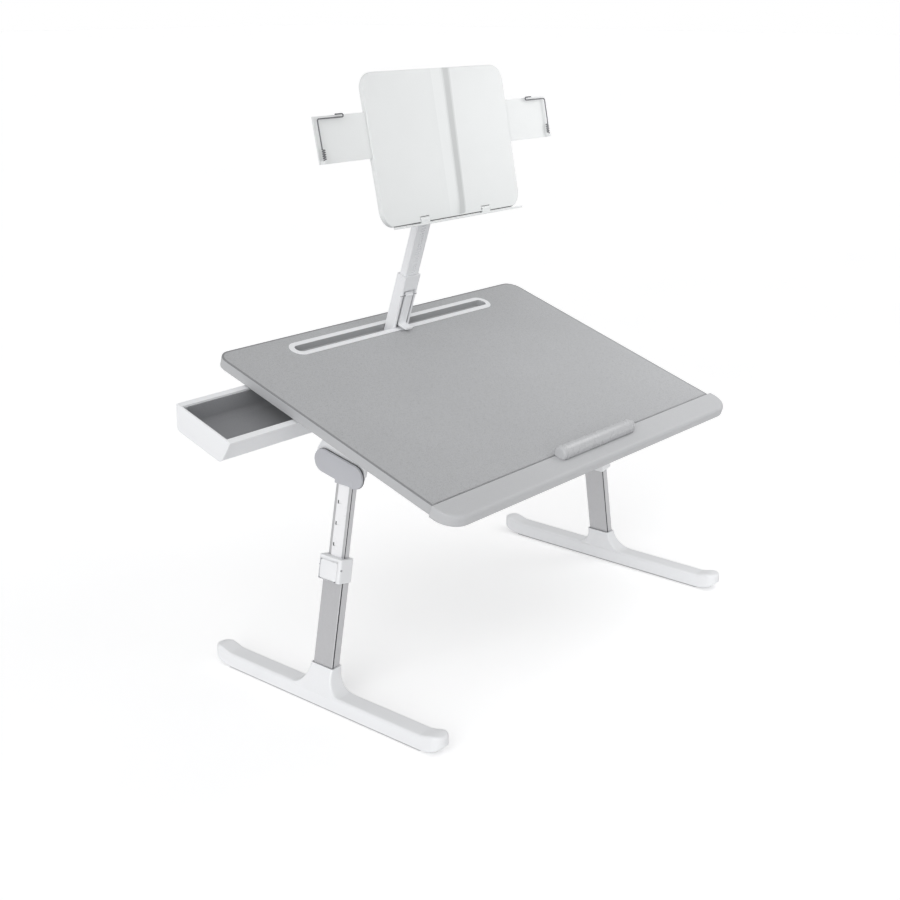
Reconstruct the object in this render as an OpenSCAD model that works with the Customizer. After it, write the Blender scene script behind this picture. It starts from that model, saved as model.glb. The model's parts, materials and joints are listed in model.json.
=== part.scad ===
// Folding laptop table with two adjustable legs, a side drawer and a plug-in book stand.
// Millimetres. +X is the user's right, +Y points away from the user, +Z is up.
// The origin is on the floor, under the middle of the whole object.

/* [Table top] */
// Width of the table top from side to side
top_w = 630; // [580:5:700]
// Depth of the leather surface from its seam to its back edge
leather_d = 396; // [370:2:430]
// Thickness of the table top
top_t = 14; // [13:0.5:18]
// Thickness of the leather sheet
leather_t = 1; // [0.8:0.1:1.6]
// Thickness of the plastic band round the edge
band_t = 3; // [2:0.5:5]
// Radius of the two back corners
back_corner_r = 21; // [12:1:30]
// Height of the leather's front seam above the floor
seam_h = 314.3; // [295:1:335]
// Slope of the table top in degrees
slope = 18; // [12:1:20]

/* [Front lip] */
// Depth of the padded lip in front of the seam
lip_d = 38.5; // [36:0.5:50]
// Height of the lip above the leather
lip_rise = 2.4; // [0.5:0.1:3]
// How far the lip stands out past each side of the top
lip_side = 4.5; // [1:0.5:6]
// Radius of the lip's two front corners
lip_corner_r = 30; // [12:1:32]
// Radius of the lip's nose, above and below
lip_r = 5; // [2:0.5:6.5]
// Gap between the leather's front edge and the lip
seam_gap = 0.5; // [0.3:0.1:1]

/* [Device slot] */
// Length of the slot tray's rim
slot_l = 421; // [380:1:450]
// Width of the slot tray's rim
slot_w = 32.5; // [28:0.5:40]
// Width of the white rim round the opening
slot_rim = 8; // [6:0.5:10]
// Height of the rim above the leather
slot_rise = 1.6; // [1:0.1:3]
// Depth of the slot below the leather
slot_depth = 9; // [7:0.5:10]
// Wall and floor thickness of the tray
tray_wall = 1.6; // [1.2:0.1:2]
// Distance from the slot's middle to the leather's back edge
slot_inset = 36; // [32:1:44]

/* [Stopper bar] */
// Length of the stopper bar
stopper_l = 166; // [130:1:200]
// Depth of the stopper bar
stopper_d = 20; // [16:1:26]
// Height of the stopper bar
stopper_h = 15.5; // [13:0.5:22]
// Distance from the seam forward to the bar's middle
stopper_set = 6; // [4:0.5:8]
// How far the bar's middle lies right of the table's middle
stopper_shift = 8; // [-10:1:10]
// Distance between the bar's two pegs
peg_span = 100; // [60:1:140]
// Diameter of a peg
peg_d = 6; // [4:0.5:8]
// Length of a peg below the bar
peg_l = 9; // [6:0.5:10]
// Distance from the seam forward to the pegs
peg_set = 9; // [6:0.5:12]

/* [Drawer] */
// Width of the drawer over its side flanges
drawer_w = 103; // [90:1:115]
// Width of the drawer's bottom
drawer_bottom_w = 83; // [70:1:88]
// Height of the drawer
drawer_h = 34; // [24:1:40]
// Length of the drawer
drawer_l = 200; // [180:1:215]
// Wall thickness of the drawer
drawer_wall = 2.2; // [1.6:0.1:3]
// Width of each side flange
flange_w = 6; // [5:0.5:8]
// Thickness of the side flanges
flange_t = 2; // [1.5:0.1:3]
// How far the drawer is pulled out past the table's edge
drawer_out = 110; // [60:1:125]
// Distance from the drawer's middle to the leather's back edge
drawer_inset = 111; // [100:1:125]
// Gap between the drawer and the table's underside
drawer_drop = 2; // [1:0.5:4]
// Thickness of the dark liner
liner_t = 1.2; // [0.8:0.1:2]
// Thickness of the rails' walls
rail_t = 2; // [1.5:0.1:2.2]
// How far the rails start inside the table's edge
rail_inset = 10; // [5:1:25]
// Length of the rails
rail_l = 196; // [150:1:200]
// Clearance between a flange and its rail
rail_gap = 0.6; // [0.4:0.1:0.7]
// Width of the rails' screwed feet
rail_foot_w = 7; // [6:0.5:8]

/* [Leg hinge] */
// Distance from the table's side edge in to the fold axis
fold_inset = 63; // [56:1:72]
// Drop of the fold axis below the table's underside
fold_drop = 10; // [9.5:0.5:14]
// Gap between a hinge base and the foot of the drawer rail behind it
hinge_gap = 1.6; // [1.4:0.2:4]
// Drop of the tilt axis below the table's underside
tilt_drop = 54; // [52:1:60]
// Distance from the fold axis out to the tilt head's inner face
arm_out = 5.5; // [5:0.5:8]
// Thickness of the fold arm
arm_t = 10; // [8:0.5:10]
// Length of the oval head
head_l = 86; // [80:1:88]
// Height of the oval head
head_h = 32; // [29:0.2:32.6]
// Thickness of the head without its cover
head_t = 16; // [15:0.5:18]
// Thickness of the head's cover
cover_t = 3; // [2:0.5:4]
// Angle of the oval above the horizontal
head_pitch = 12; // [0:1:18]
// Distance from the tilt axis forward to the oval's middle
head_shift = 3; // [0:0.5:4]
// Radius of the dial behind the head's cover
dial_r = 43; // [38:0.5:44]
// Thickness of the dial
dial_t = 3; // [2:0.5:4]
// Gap between the dial and the cover
dial_gap = 3.5; // [2:0.5:5]
// Diameter of the fold pin
fold_pin_d = 5; // [4:0.5:6]
// Diameter of the tilt pin
tilt_pin_d = 8; // [6:0.5:9]
// Half the length of the fold knuckle
knuckle_half = 30; // [24:1:30]
// Radius of the fold knuckle
knuckle_r = 6.5; // [5:0.5:6.5]
// Thickness of the hinge base's plate
base_t = 3; // [2:0.5:3]
// Width of the hinge base's plate
base_w = 32; // [28:1:36]
// Thickness of the hinge base's ears
ear_t = 6; // [4:0.5:6]

/* [Leg tubes] */
// Outward lean of each leg in degrees
splay = 11; // [6:0.5:12]
// Distance from the tilt axis forward to the leg's axis
leg_offset = 13.4; // [12.6:0.2:14]
// Depth of the outer tube, front to back
outer_w = 35; // [33:0.5:38]
// Thickness of the outer tube
outer_t = 14; // [13.6:0.2:16]
// Wall thickness of the outer tube
outer_wall = 1.6; // [1.2:0.1:1.7]
// Depth of the inner tube, front to back
inner_w = 28; // [26:0.5:28]
// Thickness of the inner tube
inner_t = 10; // [9:0.2:10]
// Wall thickness of the inner tube
inner_wall = 1.4; // [1.2:0.1:1.8]
// Width of the white detent strip
strip_w = 19; // [16:0.5:21]
// Thickness of the detent strip
strip_t = 0.8; // [0.5:0.1:0.9]
// Distance between two detent holes
detent_pitch = 28; // [24:0.5:30]
// Diameter of a detent hole
detent_d = 3.4; // [2.5:0.1:4]
// Height of the lock sleeve
sleeve_h = 32; // [28:1:34]
// Distance from the latch's pin down to the sleeve's lower end
sleeve_below = 18; // [17:0.5:20]
// How far the lock sleeve stands out past the outer tube on its outer side
sleeve_out = 8.6; // [8:0.2:10]
// How far the lock sleeve stands out past the outer tube elsewhere
sleeve_side = 2; // [1.6:0.1:2.6]
// Height of the flip latch
latch_h = 24; // [20:1:26]
// Width of the flip latch
latch_w = 27; // [22:1:30]
// Thickness of the flip latch
latch_t = 2.6; // [2:0.2:4]
// Length of the inner tube inside the outer tube
inner_in = 66; // [60:1:70]

/* [Feet] */
// Length of a foot
foot_l = 414; // [380:1:440]
// Width of a foot
foot_w = 28.5; // [26:0.5:32]
// Height of the foot bar
foot_h = 21.5; // [19:0.5:24]
// Height of the upturned ends
foot_tip_h = 28; // [25:0.5:31]
// Distance from the leg's axis forward to the foot's middle
foot_shift = 7; // [0:1:12]
// Height of the neck's top along the leg
neck_w1 = 52.3; // [46:0.5:60]
// Radius of the neck's flare, front and back
flare_r = 27; // [20:1:30]
// Thickness of the rubber sole
sole_t = 1.6; // [1.2:0.1:2.5]

/* [Book stand] */
// Width of the outer post
post_w = 33; // [30:0.5:36]
// Depth of the outer post
post_d = 18; // [17:0.5:20]
// Length of the outer post
post_l = 100; // [95:1:120]
// Wall thickness of the outer post
post_wall = 2.2; // [1.8:0.1:2.4]
// How deep the post stands in its pocket
post_seat = 17.5; // [15:0.5:19]
// Width of the inner post
rod_w = 28; // [25:0.5:28]
// Depth of the inner post
rod_d = 12; // [11:0.5:12.4]
// Length of the inner post inside the outer post
rod_in = 36; // [25:1:40]
// Height of the board's tilt axis above the leather
pivot_h = 262.4; // [240:1:285]
// Lean of the board back from the post in degrees
board_lean = 29.6; // [20:0.5:40]
// Width of the board
board_w = 288; // [260:1:310]
// Height of the board
board_h = 200; // [185:1:230]
// Thickness of the board
board_t = 7; // [6.4:0.2:9]
// Radius of the board's corners
board_r = 23; // [12:1:30]
// Distance from the board's bottom edge up to its tilt axis
board_low = 86; // [80:1:100]
// Distance from the board's back face to its tilt axis
board_back_gap = 9; // [8.5:0.5:12]
// Thickness of the board's front shell without its ridge
shell_t = 2.4; // [2:0.1:2.6]
// Width of the soft ridge down the middle of the board
ridge_w = 46; // [30:1:60]
// Height of the ridge
ridge_h = 3; // [1.5:0.5:4]

/* [Wings, clips and ledge] */
// Height of a wing
wing_h = 59; // [45:1:70]
// Height of the wings' lower edge above the board's bottom edge
wing_low = 91.5; // [80:1:100]
// How far each wing is pulled out past the board
wing_out = 94; // [60:1:96]
// Length of a wing
wing_l = 130; // [120:1:134]
// Thickness of a wing
wing_t = 2.2; // [1.8:0.1:2.6]
// Diameter of the clip wire
wire_d = 2.2; // [1.6:0.1:2.6]
// Length of the clip's arm
arm_reach = 46; // [36:1:56]
// Outer diameter of the clip's coil
coil_d = 6; // [5.4:0.2:7]
// Length of the page ledge
ledge_l = 252; // [200:1:270]
// Depth of the page ledge in front of the board
ledge_d = 18.5; // [14:0.5:24]
// Thickness of the page ledge
ledge_t = 2.3; // [1.8:0.1:3]
// Distance between the ledge's two knuckles
knuckle_span = 129; // [90:1:150]
// Width of a ledge knuckle
knuckle_w = 17; // [12:1:22]

/* [Hidden] */
$fn = 48;

leather_c = [0.70, 0.71, 0.72];
lip_c = [0.76, 0.77, 0.78];
band_c = [0.66, 0.67, 0.68];
white_c = [0.93, 0.93, 0.94];
core_c = [0.80, 0.80, 0.79];
liner_c = [0.42, 0.43, 0.45];
grey_c = [0.68, 0.69, 0.71];
metal_c = [0.76, 0.77, 0.79];
rubber_c = [0.40, 0.41, 0.42];
wire_c = [0.25, 0.25, 0.27];

// Clearances and small sizes that several pieces share
cut = 1;
face_gap = 0.1;
slide_gap = 0.3;
pin_fit = 0.02;
run_fit = 0.05;

// Places on the table top, with u to the right, v back from the seam and n up from the leather
under = -top_t;
side_u = top_w / 2;
slot_v = leather_d - slot_inset;
drawer_v = leather_d - drawer_inset;
flange_half = drawer_w / 2;
rail_reach = flange_half + rail_gap + rail_t + rail_foot_w;
ear_v0 = knuckle_half + slide_gap;
ear_v1 = ear_v0 + ear_t;
base_reach = ear_v1 + slide_gap;
hinge_v = drawer_v - rail_reach - hinge_gap - base_reach;
fold_u = side_u - fold_inset;
fold_n = under - fold_drop;
tilt_n = under - tilt_drop;
lip_h = top_t + lip_rise;

// Places of the tilt axis and of the legs on the floor
tilt_y = hinge_v * cos(slope) - tilt_n * sin(slope);
tilt_z = seam_h + hinge_v * sin(slope) + tilt_n * cos(slope);
head_x0 = fold_u + arm_out;
head_x1 = head_x0 + head_t;
head_mid = (head_x0 + head_x1 + cover_t) / 2;
leg_x = head_mid + tilt_z * tan(splay);
leg_y = tilt_y - leg_offset;
leg_top = tilt_z / cos(splay);
foot_y = leg_y - foot_shift;

// The middle of the whole object, so that the origin lies under it
reach_right = leg_x + foot_w / 2;
reach_left = side_u + drawer_out;
mid_x = (reach_right - reach_left) / 2;
lip_front = -(lip_d - lip_r) * cos(slope) - (lip_rise - lip_r) * sin(slope) - lip_r;
mid_y = (foot_y + foot_l / 2 + lip_front) / 2;

module in_place() {
    translate([-mid_x, -mid_y, 0]) children();
}

module on_table() {
    in_place() translate([0, 0, seam_h]) rotate([slope, 0, 0]) children();
}

// Right-hand pieces are drawn and left-hand ones are their mirror images
module sided(side) {
    if (side > 0) children();
    else mirror([1, 0, 0]) children();
}

// Leg frame: x outward, y back, z up along the leg from the floor
module on_leg(side) {
    in_place() sided(side) translate([leg_x, leg_y, 0]) rotate([0, -splay, 0]) children();
}

// Tilt frame: origin on the tilt axis, x outward from the middle of the table
module at_tilt(side) {
    in_place() sided(side) translate([0, tilt_y, tilt_z]) children();
}

// Board frame: origin on the board's tilt axis, z up the board, y towards its back
module on_board() {
    on_table() translate([0, slot_v, pivot_h]) rotate([-board_lean, 0, 0]) children();
}

// Flat shapes
module rounded(w, d, r) {
    square([w - 2 * r, d], center = true);
    square([w, d - 2 * r], center = true);
    for (x = [-1, 1], y = [-1, 1]) translate([x * (w / 2 - r), y * (d / 2 - r)]) circle(r);
}

module stadium(l, w) {
    square([l - w, w], center = true);
    for (x = [-1, 1]) translate([x * (l - w) / 2, 0]) circle(w / 2);
}

module block(w, d, h, r) {
    linear_extrude(h) rounded(w, d, r);
}

// Extrudes a flat shape of y and z along x, from x0 to x1
module along_x(x0, x1) {
    translate([x0, 0, 0]) rotate([90, 0, 90]) linear_extrude(x1 - x0) children();
}

// A rod along x through the point [y, z]
module rod_x(x0, x1, y, z, r) {
    translate([x0, y, z]) rotate([0, 90, 0]) cylinder(h = x1 - x0, r = r);
}

// A rod along y through the point [x, z]
module rod_y(y0, y1, x, z, r) {
    translate([x, y1, z]) rotate([90, 0, 0]) cylinder(h = y1 - y0, r = r);
}

module rod_z(x, y, z0, z1, r) {
    translate([x, y, z0]) cylinder(h = z1 - z0, r = r);
}

// A closed skin over a list of rings that have the same number of points
module skin(rings) {
    n = len(rings[0]);
    m = len(rings);
    points = [for (ring = rings, p = ring) p];
    sides = [for (i = [0:m - 2], j = [0:n - 1], t = [0, 1])
        let (a = i * n + j, b = i * n + (j + 1) % n, c = a + n, d = b + n)
        t == 0 ? [a, c, b] : [b, c, d]];
    first_cap = [for (j = [1:n - 2]) [0, j, j + 1]];
    last_cap = [for (j = [1:n - 2]) [(m - 1) * n, (m - 1) * n + j + 1, (m - 1) * n + j]];
    polyhedron(points, concat(sides, first_cap, last_cap));
}

function unit(v) = v / norm(v);
function lerp(a, b, t) = a + (b - a) * t;

// Table top

module top_outline(inset) {
    back = leather_d - inset;
    r = back_corner_r - inset;
    half = side_u - inset;
    translate([-half, 0]) square([2 * half, back - r]);
    translate([-half + r, 0]) square([2 * (half - r), back]);
    for (s = [-1, 1]) translate([s * (half - r), back - r]) circle(r);
}

tray_open_l = slot_l - 2 * slot_rim + 2 * tray_wall;
tray_open_w = slot_w - 2 * slot_rim + 2 * tray_wall;
pocket_w = post_w + 2 * slide_gap;
pocket_d = post_d + 2 * slide_gap;
pocket_n = -post_seat - face_gap;
boss_w = pocket_w + 2 * tray_wall;
boss_d = pocket_d + 2 * tray_wall;

module tray_hole(depth) {
    translate([0, slot_v, -depth]) linear_extrude(depth + cut)
        stadium(tray_open_l + 2 * slide_gap, tray_open_w + 2 * slide_gap);
    translate([-boss_w / 2 - slide_gap, slot_v - boss_d / 2 - slide_gap, under - cut])
        cube([boss_w + 2 * slide_gap, boss_d + 2 * slide_gap, top_t + 2 * cut]);
}

screw_r = 1.8;
screw_bite = 5;
screw_head_share = 1.7;
rail_foot_t = 2;
rail_screw_v = rail_reach - rail_foot_w / 2;
screw_edge = 5;
base_screw_u = base_w / 2 - screw_edge;
base_screw_v = 24;
rail_screw_share = [0.12, 0.5, 0.88];

// The screws' places on the underside of the top: [u, v, thickness of what they hold]
screw_places = concat(
    [for (s = [-1, 1], du = [-1, 1], dv = [-1, 1])
        [s * fold_u + du * base_screw_u, hinge_v + dv * base_screw_v, base_t]],
    [for (s = [-1, 1], k = rail_screw_share)
        [-side_u + rail_inset + k * rail_l, drawer_v + s * rail_screw_v, rail_foot_t]]);

module top_board() {
    color(core_c) on_table() difference() {
        translate([0, 0, under]) linear_extrude(top_t - leather_t) top_outline(band_t);
        tray_hole(slot_depth + tray_wall + slide_gap);
        for (p = screw_places) translate([p[0], p[1], under - cut])
            cylinder(h = screw_bite + cut + face_gap, r = screw_r + pin_fit);
    }
}

module leather_top() {
    color(leather_c) on_table() difference() {
        translate([0, 0, -leather_t]) linear_extrude(leather_t) top_outline(0);
        tray_hole(leather_t + cut);
    }
}

module edge_band() {
    color(band_c) on_table() difference() {
        translate([0, 0, under]) linear_extrude(top_t - leather_t) top_outline(0);
        translate([0, 0, under - cut]) linear_extrude(top_t + 2 * cut) {
            top_outline(band_t);
            translate([-side_u + band_t, -cut]) square([top_w - 2 * band_t, 2 * cut]);
        }
    }
}

module lip_outline() {
    half = side_u + lip_side;
    r = lip_corner_r;
    translate([-half, -lip_d + r]) square([2 * half, lip_d - r - seam_gap]);
    translate([-half + r, -lip_d]) square([2 * (half - r), r]);
    for (s = [-1, 1]) translate([s * (half - r), -lip_d + r]) circle(r);
}

module front_lip() {
    color(lip_c) on_table() difference() {
        intersection() {
            translate([0, 0, under]) linear_extrude(lip_h) lip_outline();
            along_x(-side_u - lip_side - cut, side_u + lip_side + cut) union() {
                for (n = [under + lip_r, lip_rise - lip_r])
                    translate([-lip_d + lip_r, n]) circle(lip_r);
                translate([-lip_d, under + lip_r])
                    square([lip_d - seam_gap, lip_h - 2 * lip_r]);
                translate([-lip_d + lip_r, under])
                    square([lip_d - lip_r - seam_gap, lip_h]);
            }
        }
        for (s = [-1, 1])
            translate([stopper_shift + s * peg_span / 2, -peg_set, lip_rise - peg_l])
                cylinder(h = peg_l + cut, r = peg_d / 2 + run_fit);
    }
}

module slot_tray() {
    color(white_c) on_table() difference() {
        translate([0, slot_v, 0]) union() {
            linear_extrude(slot_rise) stadium(slot_l, slot_w);
            translate([0, 0, -slot_depth - tray_wall])
                linear_extrude(slot_depth + tray_wall) stadium(tray_open_l, tray_open_w);
            translate([-boss_w / 2, -boss_d / 2, pocket_n - tray_wall])
                cube([boss_w, boss_d, tray_wall - pocket_n]);
        }
        translate([0, slot_v, -slot_depth]) linear_extrude(slot_depth + slot_rise + cut)
            stadium(slot_l - 2 * slot_rim, slot_w - 2 * slot_rim);
        translate([-pocket_w / 2, slot_v - pocket_d / 2, pocket_n])
            cube([pocket_w, pocket_d, slot_rise + cut - pocket_n]);
    }
}

// Stopper bar: a flat-bottomed bar with a half-round top and round ends, on two pegs

module stopper_bar() {
    r = stopper_d / 2;
    color(lip_c) on_table() translate([stopper_shift, -stopper_set, lip_rise + slide_gap]) {
        intersection() {
            linear_extrude(stopper_h) stadium(stopper_l, stopper_d);
            along_x(-stopper_l / 2, stopper_l / 2) union() {
                translate([0, stopper_h - r]) circle(r);
                translate([-r, 0]) square([stopper_d, stopper_h - r]);
            }
        }
        for (s = [-1, 1]) translate([s * peg_span / 2, stopper_set - peg_set, -peg_l])
            cylinder(h = peg_l + cut, r = peg_d / 2);
    }
}

// Drawer and its rails

body_half = flange_half - flange_w;
low_half = drawer_bottom_w / 2;
drawer_n1 = under - drawer_drop;
drawer_n0 = drawer_n1 - drawer_h;
drawer_u0 = -side_u - drawer_out;
rail_lip_n = drawer_n1 - flange_t - rail_gap;

// Cross-section of the drawer, inset all round by t except at its open top
module drawer_section(t) {
    draft = (body_half - low_half) / drawer_h;
    polygon([[-low_half - draft * t + t, -drawer_h + t], [low_half + draft * t - t, -drawer_h + t],
             [body_half - t, t > 0 ? cut : 0], [-body_half + t, t > 0 ? cut : 0]]);
}

module at_drawer() {
    on_table() translate([0, drawer_v, drawer_n1]) children();
}

module drawer() {
    color(white_c) at_drawer() difference() {
        union() {
            along_x(drawer_u0, drawer_u0 + drawer_l) union() {
                drawer_section(0);
                translate([-flange_half, -flange_t]) square([drawer_w, flange_t]);
            }
            along_x(drawer_u0, drawer_u0 + drawer_wall)
                polygon([[-low_half, -drawer_h], [low_half, -drawer_h],
                         [flange_half, -flange_t], [flange_half, 0], [-flange_half, 0],
                         [-flange_half, -flange_t]]);
        }
        along_x(drawer_u0 + drawer_wall, drawer_u0 + drawer_l - drawer_wall)
            drawer_section(drawer_wall);
    }
}

module drawer_liner() {
    skin_in = drawer_wall + face_gap;
    color(liner_c) at_drawer() difference() {
        intersection() {
            along_x(drawer_u0 + skin_in, drawer_u0 + drawer_l - skin_in) drawer_section(skin_in);
            translate([drawer_u0, -drawer_w / 2, -drawer_h])
                cube([drawer_l, drawer_w, drawer_h - flange_t]);
        }
        along_x(drawer_u0 + skin_in + liner_t, drawer_u0 + drawer_l - skin_in - liner_t)
            drawer_section(skin_in + liner_t);
    }
}

// Rail with a foot that is screwed to the top, a web, a lip under the flange and an end stop
module rail(side) {
    u0 = -side_u + rail_inset;
    web = flange_half + rail_gap;
    lip = flange_w - rail_gap - slide_gap;
    color(white_c) on_table() translate([0, drawer_v, 0]) mirror([0, side > 0 ? 0 : 1, 0])
        difference() {
            union() {
                translate([u0, web, rail_lip_n - rail_t])
                    cube([rail_l, rail_t, under - rail_lip_n + rail_t]);
                translate([u0, web - lip, rail_lip_n - rail_t]) cube([rail_l, lip + rail_t, rail_t]);
                translate([u0, web, under - rail_foot_t])
                    cube([rail_l, rail_t + rail_foot_w, rail_foot_t]);
                translate([u0 + rail_l - rail_t, web - lip, rail_lip_n - rail_t])
                    cube([rail_t, lip + rail_t, under - rail_lip_n + rail_t]);
            }
            for (k = rail_screw_share)
                translate([u0 + k * rail_l, rail_screw_v, under - rail_foot_t - cut])
                    cylinder(h = rail_foot_t + 2 * cut, r = screw_r + pin_fit);
        }
}

module drawer_rail_front() {
    rail(-1);
}

module drawer_rail_back() {
    rail(1);
}

module underside_screws() {
    head_r = screw_head_share * screw_r;
    head_t = screw_r;
    color(metal_c) on_table() for (p = screw_places) translate([p[0], p[1], under - p[2]]) {
        translate([0, 0, -head_t]) cylinder(h = head_t, r = head_r);
        cylinder(h = p[2] + screw_bite, r = screw_r);
    }
}

// Leg hinge

ear_over = 0.5;
ear_r = knuckle_r + ear_over;
arm_shoulder = 1.3;
fold_pin_r = fold_pin_d / 2;
tilt_pin_r = tilt_pin_d / 2;

module at_fold(side) {
    on_table() sided(side) translate([fold_u, hinge_v, fold_n]) children();
}

module hinge_base(side) {
    color(white_c) at_fold(side) difference() {
        union() {
            translate([-base_w / 2, -base_reach, fold_drop - base_t])
                cube([base_w, 2 * base_reach, base_t]);
            for (s = [-1, 1]) {
                y0 = s > 0 ? ear_v0 : -ear_v1;
                rod_y(y0, y0 + ear_t, 0, 0, ear_r);
                translate([-ear_r, y0, 0]) cube([2 * ear_r, ear_t, fold_drop - base_t + cut]);
            }
        }
        rod_y(-ear_v1 - cut, ear_v1 + cut, 0, 0, fold_pin_r + pin_fit);
        for (du = [-1, 1], dv = [-1, 1])
            translate([du * base_screw_u, dv * base_screw_v, fold_drop - base_t - cut])
                cylinder(h = base_t + 2 * cut, r = screw_r + pin_fit);
    }
}

module fold_pin(side) {
    color(metal_c) at_fold(side) rod_y(-ear_v1, ear_v1, 0, 0, fold_pin_r);
}

fastener_r = 8;
core_wall = 2.2;
core_h = 2 * (fastener_r + slide_gap + core_wall);
core_l = inner_w + 2 * leg_offset + core_wall;
core_r = 5;
arm_front = core_l / 2;
arm_back = head_l / 2;

// Flat shapes of the head in the plane of y and z, as they stand on the tilt axis
module head_oval() {
    translate([-head_shift, 0]) rotate(head_pitch) stadium(head_l, head_h);
}

module head_core() {
    rotate(head_pitch) rounded(core_l, core_h, core_r);
}

// The dial is the upper half of a disc
module dial() {
    rotate(head_pitch) intersection() {
        circle(dial_r);
        translate([-dial_r, 0]) square([2 * dial_r, dial_r]);
    }
}

// The arm hangs from the knuckle and carries the tilt pin
module fold_arm(side) {
    wide_n = ear_r + arm_shoulder;
    arm_x1 = head_x0 - face_gap;
    color(white_c) difference() {
        union() {
            at_fold(side) {
                rod_y(-knuckle_half, knuckle_half, 0, 0, knuckle_r);
                along_x(arm_x1 - fold_u - arm_t, arm_x1 - fold_u) union() {
                    translate([-knuckle_half, -wide_n - cut])
                        square([2 * knuckle_half, wide_n + cut]);
                    translate([-arm_front, tilt_n - fold_n])
                        square([arm_front + arm_back, fold_n - tilt_n - wide_n]);
                }
            }
            at_tilt(side) along_x(arm_x1 - arm_t, arm_x1) head_core();
        }
        at_fold(side) rod_y(-knuckle_half - cut, knuckle_half + cut, 0, 0, fold_pin_r + run_fit);
        at_tilt(side) rod_x(arm_x1 - arm_t - cut, arm_x1 + cut, 0, 0, tilt_pin_r + pin_fit);
    }
}

nut_t = 4;
washer_t = 1.2;
washers = 2;
well_x = head_x1 - nut_t - washers * washer_t - 2 * face_gap;

module tilt_pin(side) {
    flange = tilt_pin_r / 2;
    x0 = head_x0 - face_gap - arm_t;
    color(metal_c) at_tilt(side) {
        rod_x(x0 - flange, head_x1 - face_gap, 0, 0, tilt_pin_r);
        rod_x(x0 - flange, x0, 0, 0, tilt_pin_r + flange);
    }
}

module tilt_fasteners(side) {
    color(metal_c) at_tilt(side) {
        for (i = [0:washers - 1]) difference() {
            x = well_x + face_gap / 2 + i * washer_t;
            rod_x(x, x + washer_t - face_gap / 2, 0, 0, fastener_r);
            rod_x(x - cut, x + washer_t + cut, 0, 0, tilt_pin_r + pin_fit);
        }
        difference() {
            translate([head_x1 - nut_t - face_gap, 0, 0]) rotate([0, 90, 0])
                cylinder(h = nut_t, r = fastener_r, $fn = 6);
            rod_x(head_x1 - nut_t - cut, head_x1 + cut, 0, 0, tilt_pin_r + pin_fit);
        }
    }
}

collar_drop = 20.4;
collar_in = 4;
collar_wall = 2.4;
tube_drop = 10.5;
tube_r = 1;
tube_top_w = leg_top - tube_drop;
collar_w0 = leg_top - collar_drop;

// The collar's outside and the pocket for the inner tube, both grown by a clearance
module collar(side, grow) {
    on_leg(side) translate([0, 0, collar_w0 - grow])
        block(inner_t + 2 * (collar_wall + grow), inner_w + 2 * (collar_wall + grow),
              collar_drop - head_h / 2 + collar_in + 2 * grow, collar_wall);
}

module tube_pocket(side) {
    on_leg(side) translate([0, 0, collar_w0 - cut])
        block(inner_t + 2 * face_gap, inner_w + 2 * face_gap,
              tube_top_w - collar_w0 + cut + face_gap, tube_r);
}

module leg_head(side) {
    dial_x1 = head_x1 - dial_gap;
    color(white_c) difference() {
        at_tilt(side) {
            along_x(head_x0, head_x1) head_core();
            along_x(dial_x1 - dial_t, dial_x1) dial();
        }
        at_tilt(side) {
            rod_x(head_x0 - cut, head_x1 + cut, 0, 0, tilt_pin_r + run_fit);
            rod_x(well_x, head_x1 + cut, 0, 0, fastener_r + slide_gap);
        }
        collar(side, pin_fit);
        tube_pocket(side);
    }
}

module head_cover(side) {
    color(grey_c) difference() {
        union() {
            at_tilt(side) along_x(head_x1, head_x1 + cover_t) head_oval();
            collar(side, 0);
        }
        tube_pocket(side);
    }
}

// Leg tubes

detents = 5;
detent_drop = 16.6;
detent_edge = 1.3;
detent_w = leg_top - detent_drop;
detent_y = strip_w / 2 - detent_edge;
latch_w_mid = detent_w - (detents - 1) * detent_pitch;
sleeve_w0 = latch_w_mid - sleeve_below;
sleeve_w1 = sleeve_w0 + sleeve_h;
sleeve_roof = 4;
outer_w1 = sleeve_w1 - sleeve_roof;
socket_w0 = 28;
strip_w0 = sleeve_w1 - inner_in;
guide_l = 16;
bore_r = 0.5;
outer_r = 2;
outer_bore_r = 1;
sleeve_r = 3;

module inner_tube(side) {
    l = tube_top_w - strip_w0;
    color(metal_c) on_leg(side) translate([0, 0, strip_w0]) difference() {
        block(inner_t, inner_w, l, tube_r);
        translate([0, 0, -cut])
            block(inner_t - 2 * inner_wall, inner_w - 2 * inner_wall, l + 2 * cut, bore_r);
        translate([inner_t / 2 - strip_t - face_gap, -strip_w / 2 - face_gap, -cut])
            cube([inner_t, strip_w + 2 * face_gap, l + 2 * cut]);
    }
}

module detent_strip(side) {
    l = tube_top_w - strip_w0;
    color(white_c) on_leg(side) difference() {
        translate([inner_t / 2 - strip_t, -strip_w / 2, strip_w0]) cube([strip_t, strip_w, l]);
        for (i = [0:detents - 1])
            rod_x(0, inner_t, detent_y, detent_w - i * detent_pitch, detent_d / 2);
    }
}

module tube_guide(side) {
    plug_l = 12;
    color(white_c) on_leg(side) {
        translate([0, 0, strip_w0 - guide_l])
            block(outer_t - 2 * (outer_wall + slide_gap), outer_w - 2 * (outer_wall + slide_gap),
                  guide_l - face_gap, outer_bore_r);
        translate([0, 0, strip_w0 - cut])
            block(inner_t - 2 * (inner_wall + face_gap), inner_w - 2 * (inner_wall + face_gap),
                  plug_l, bore_r);
    }
}

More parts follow.
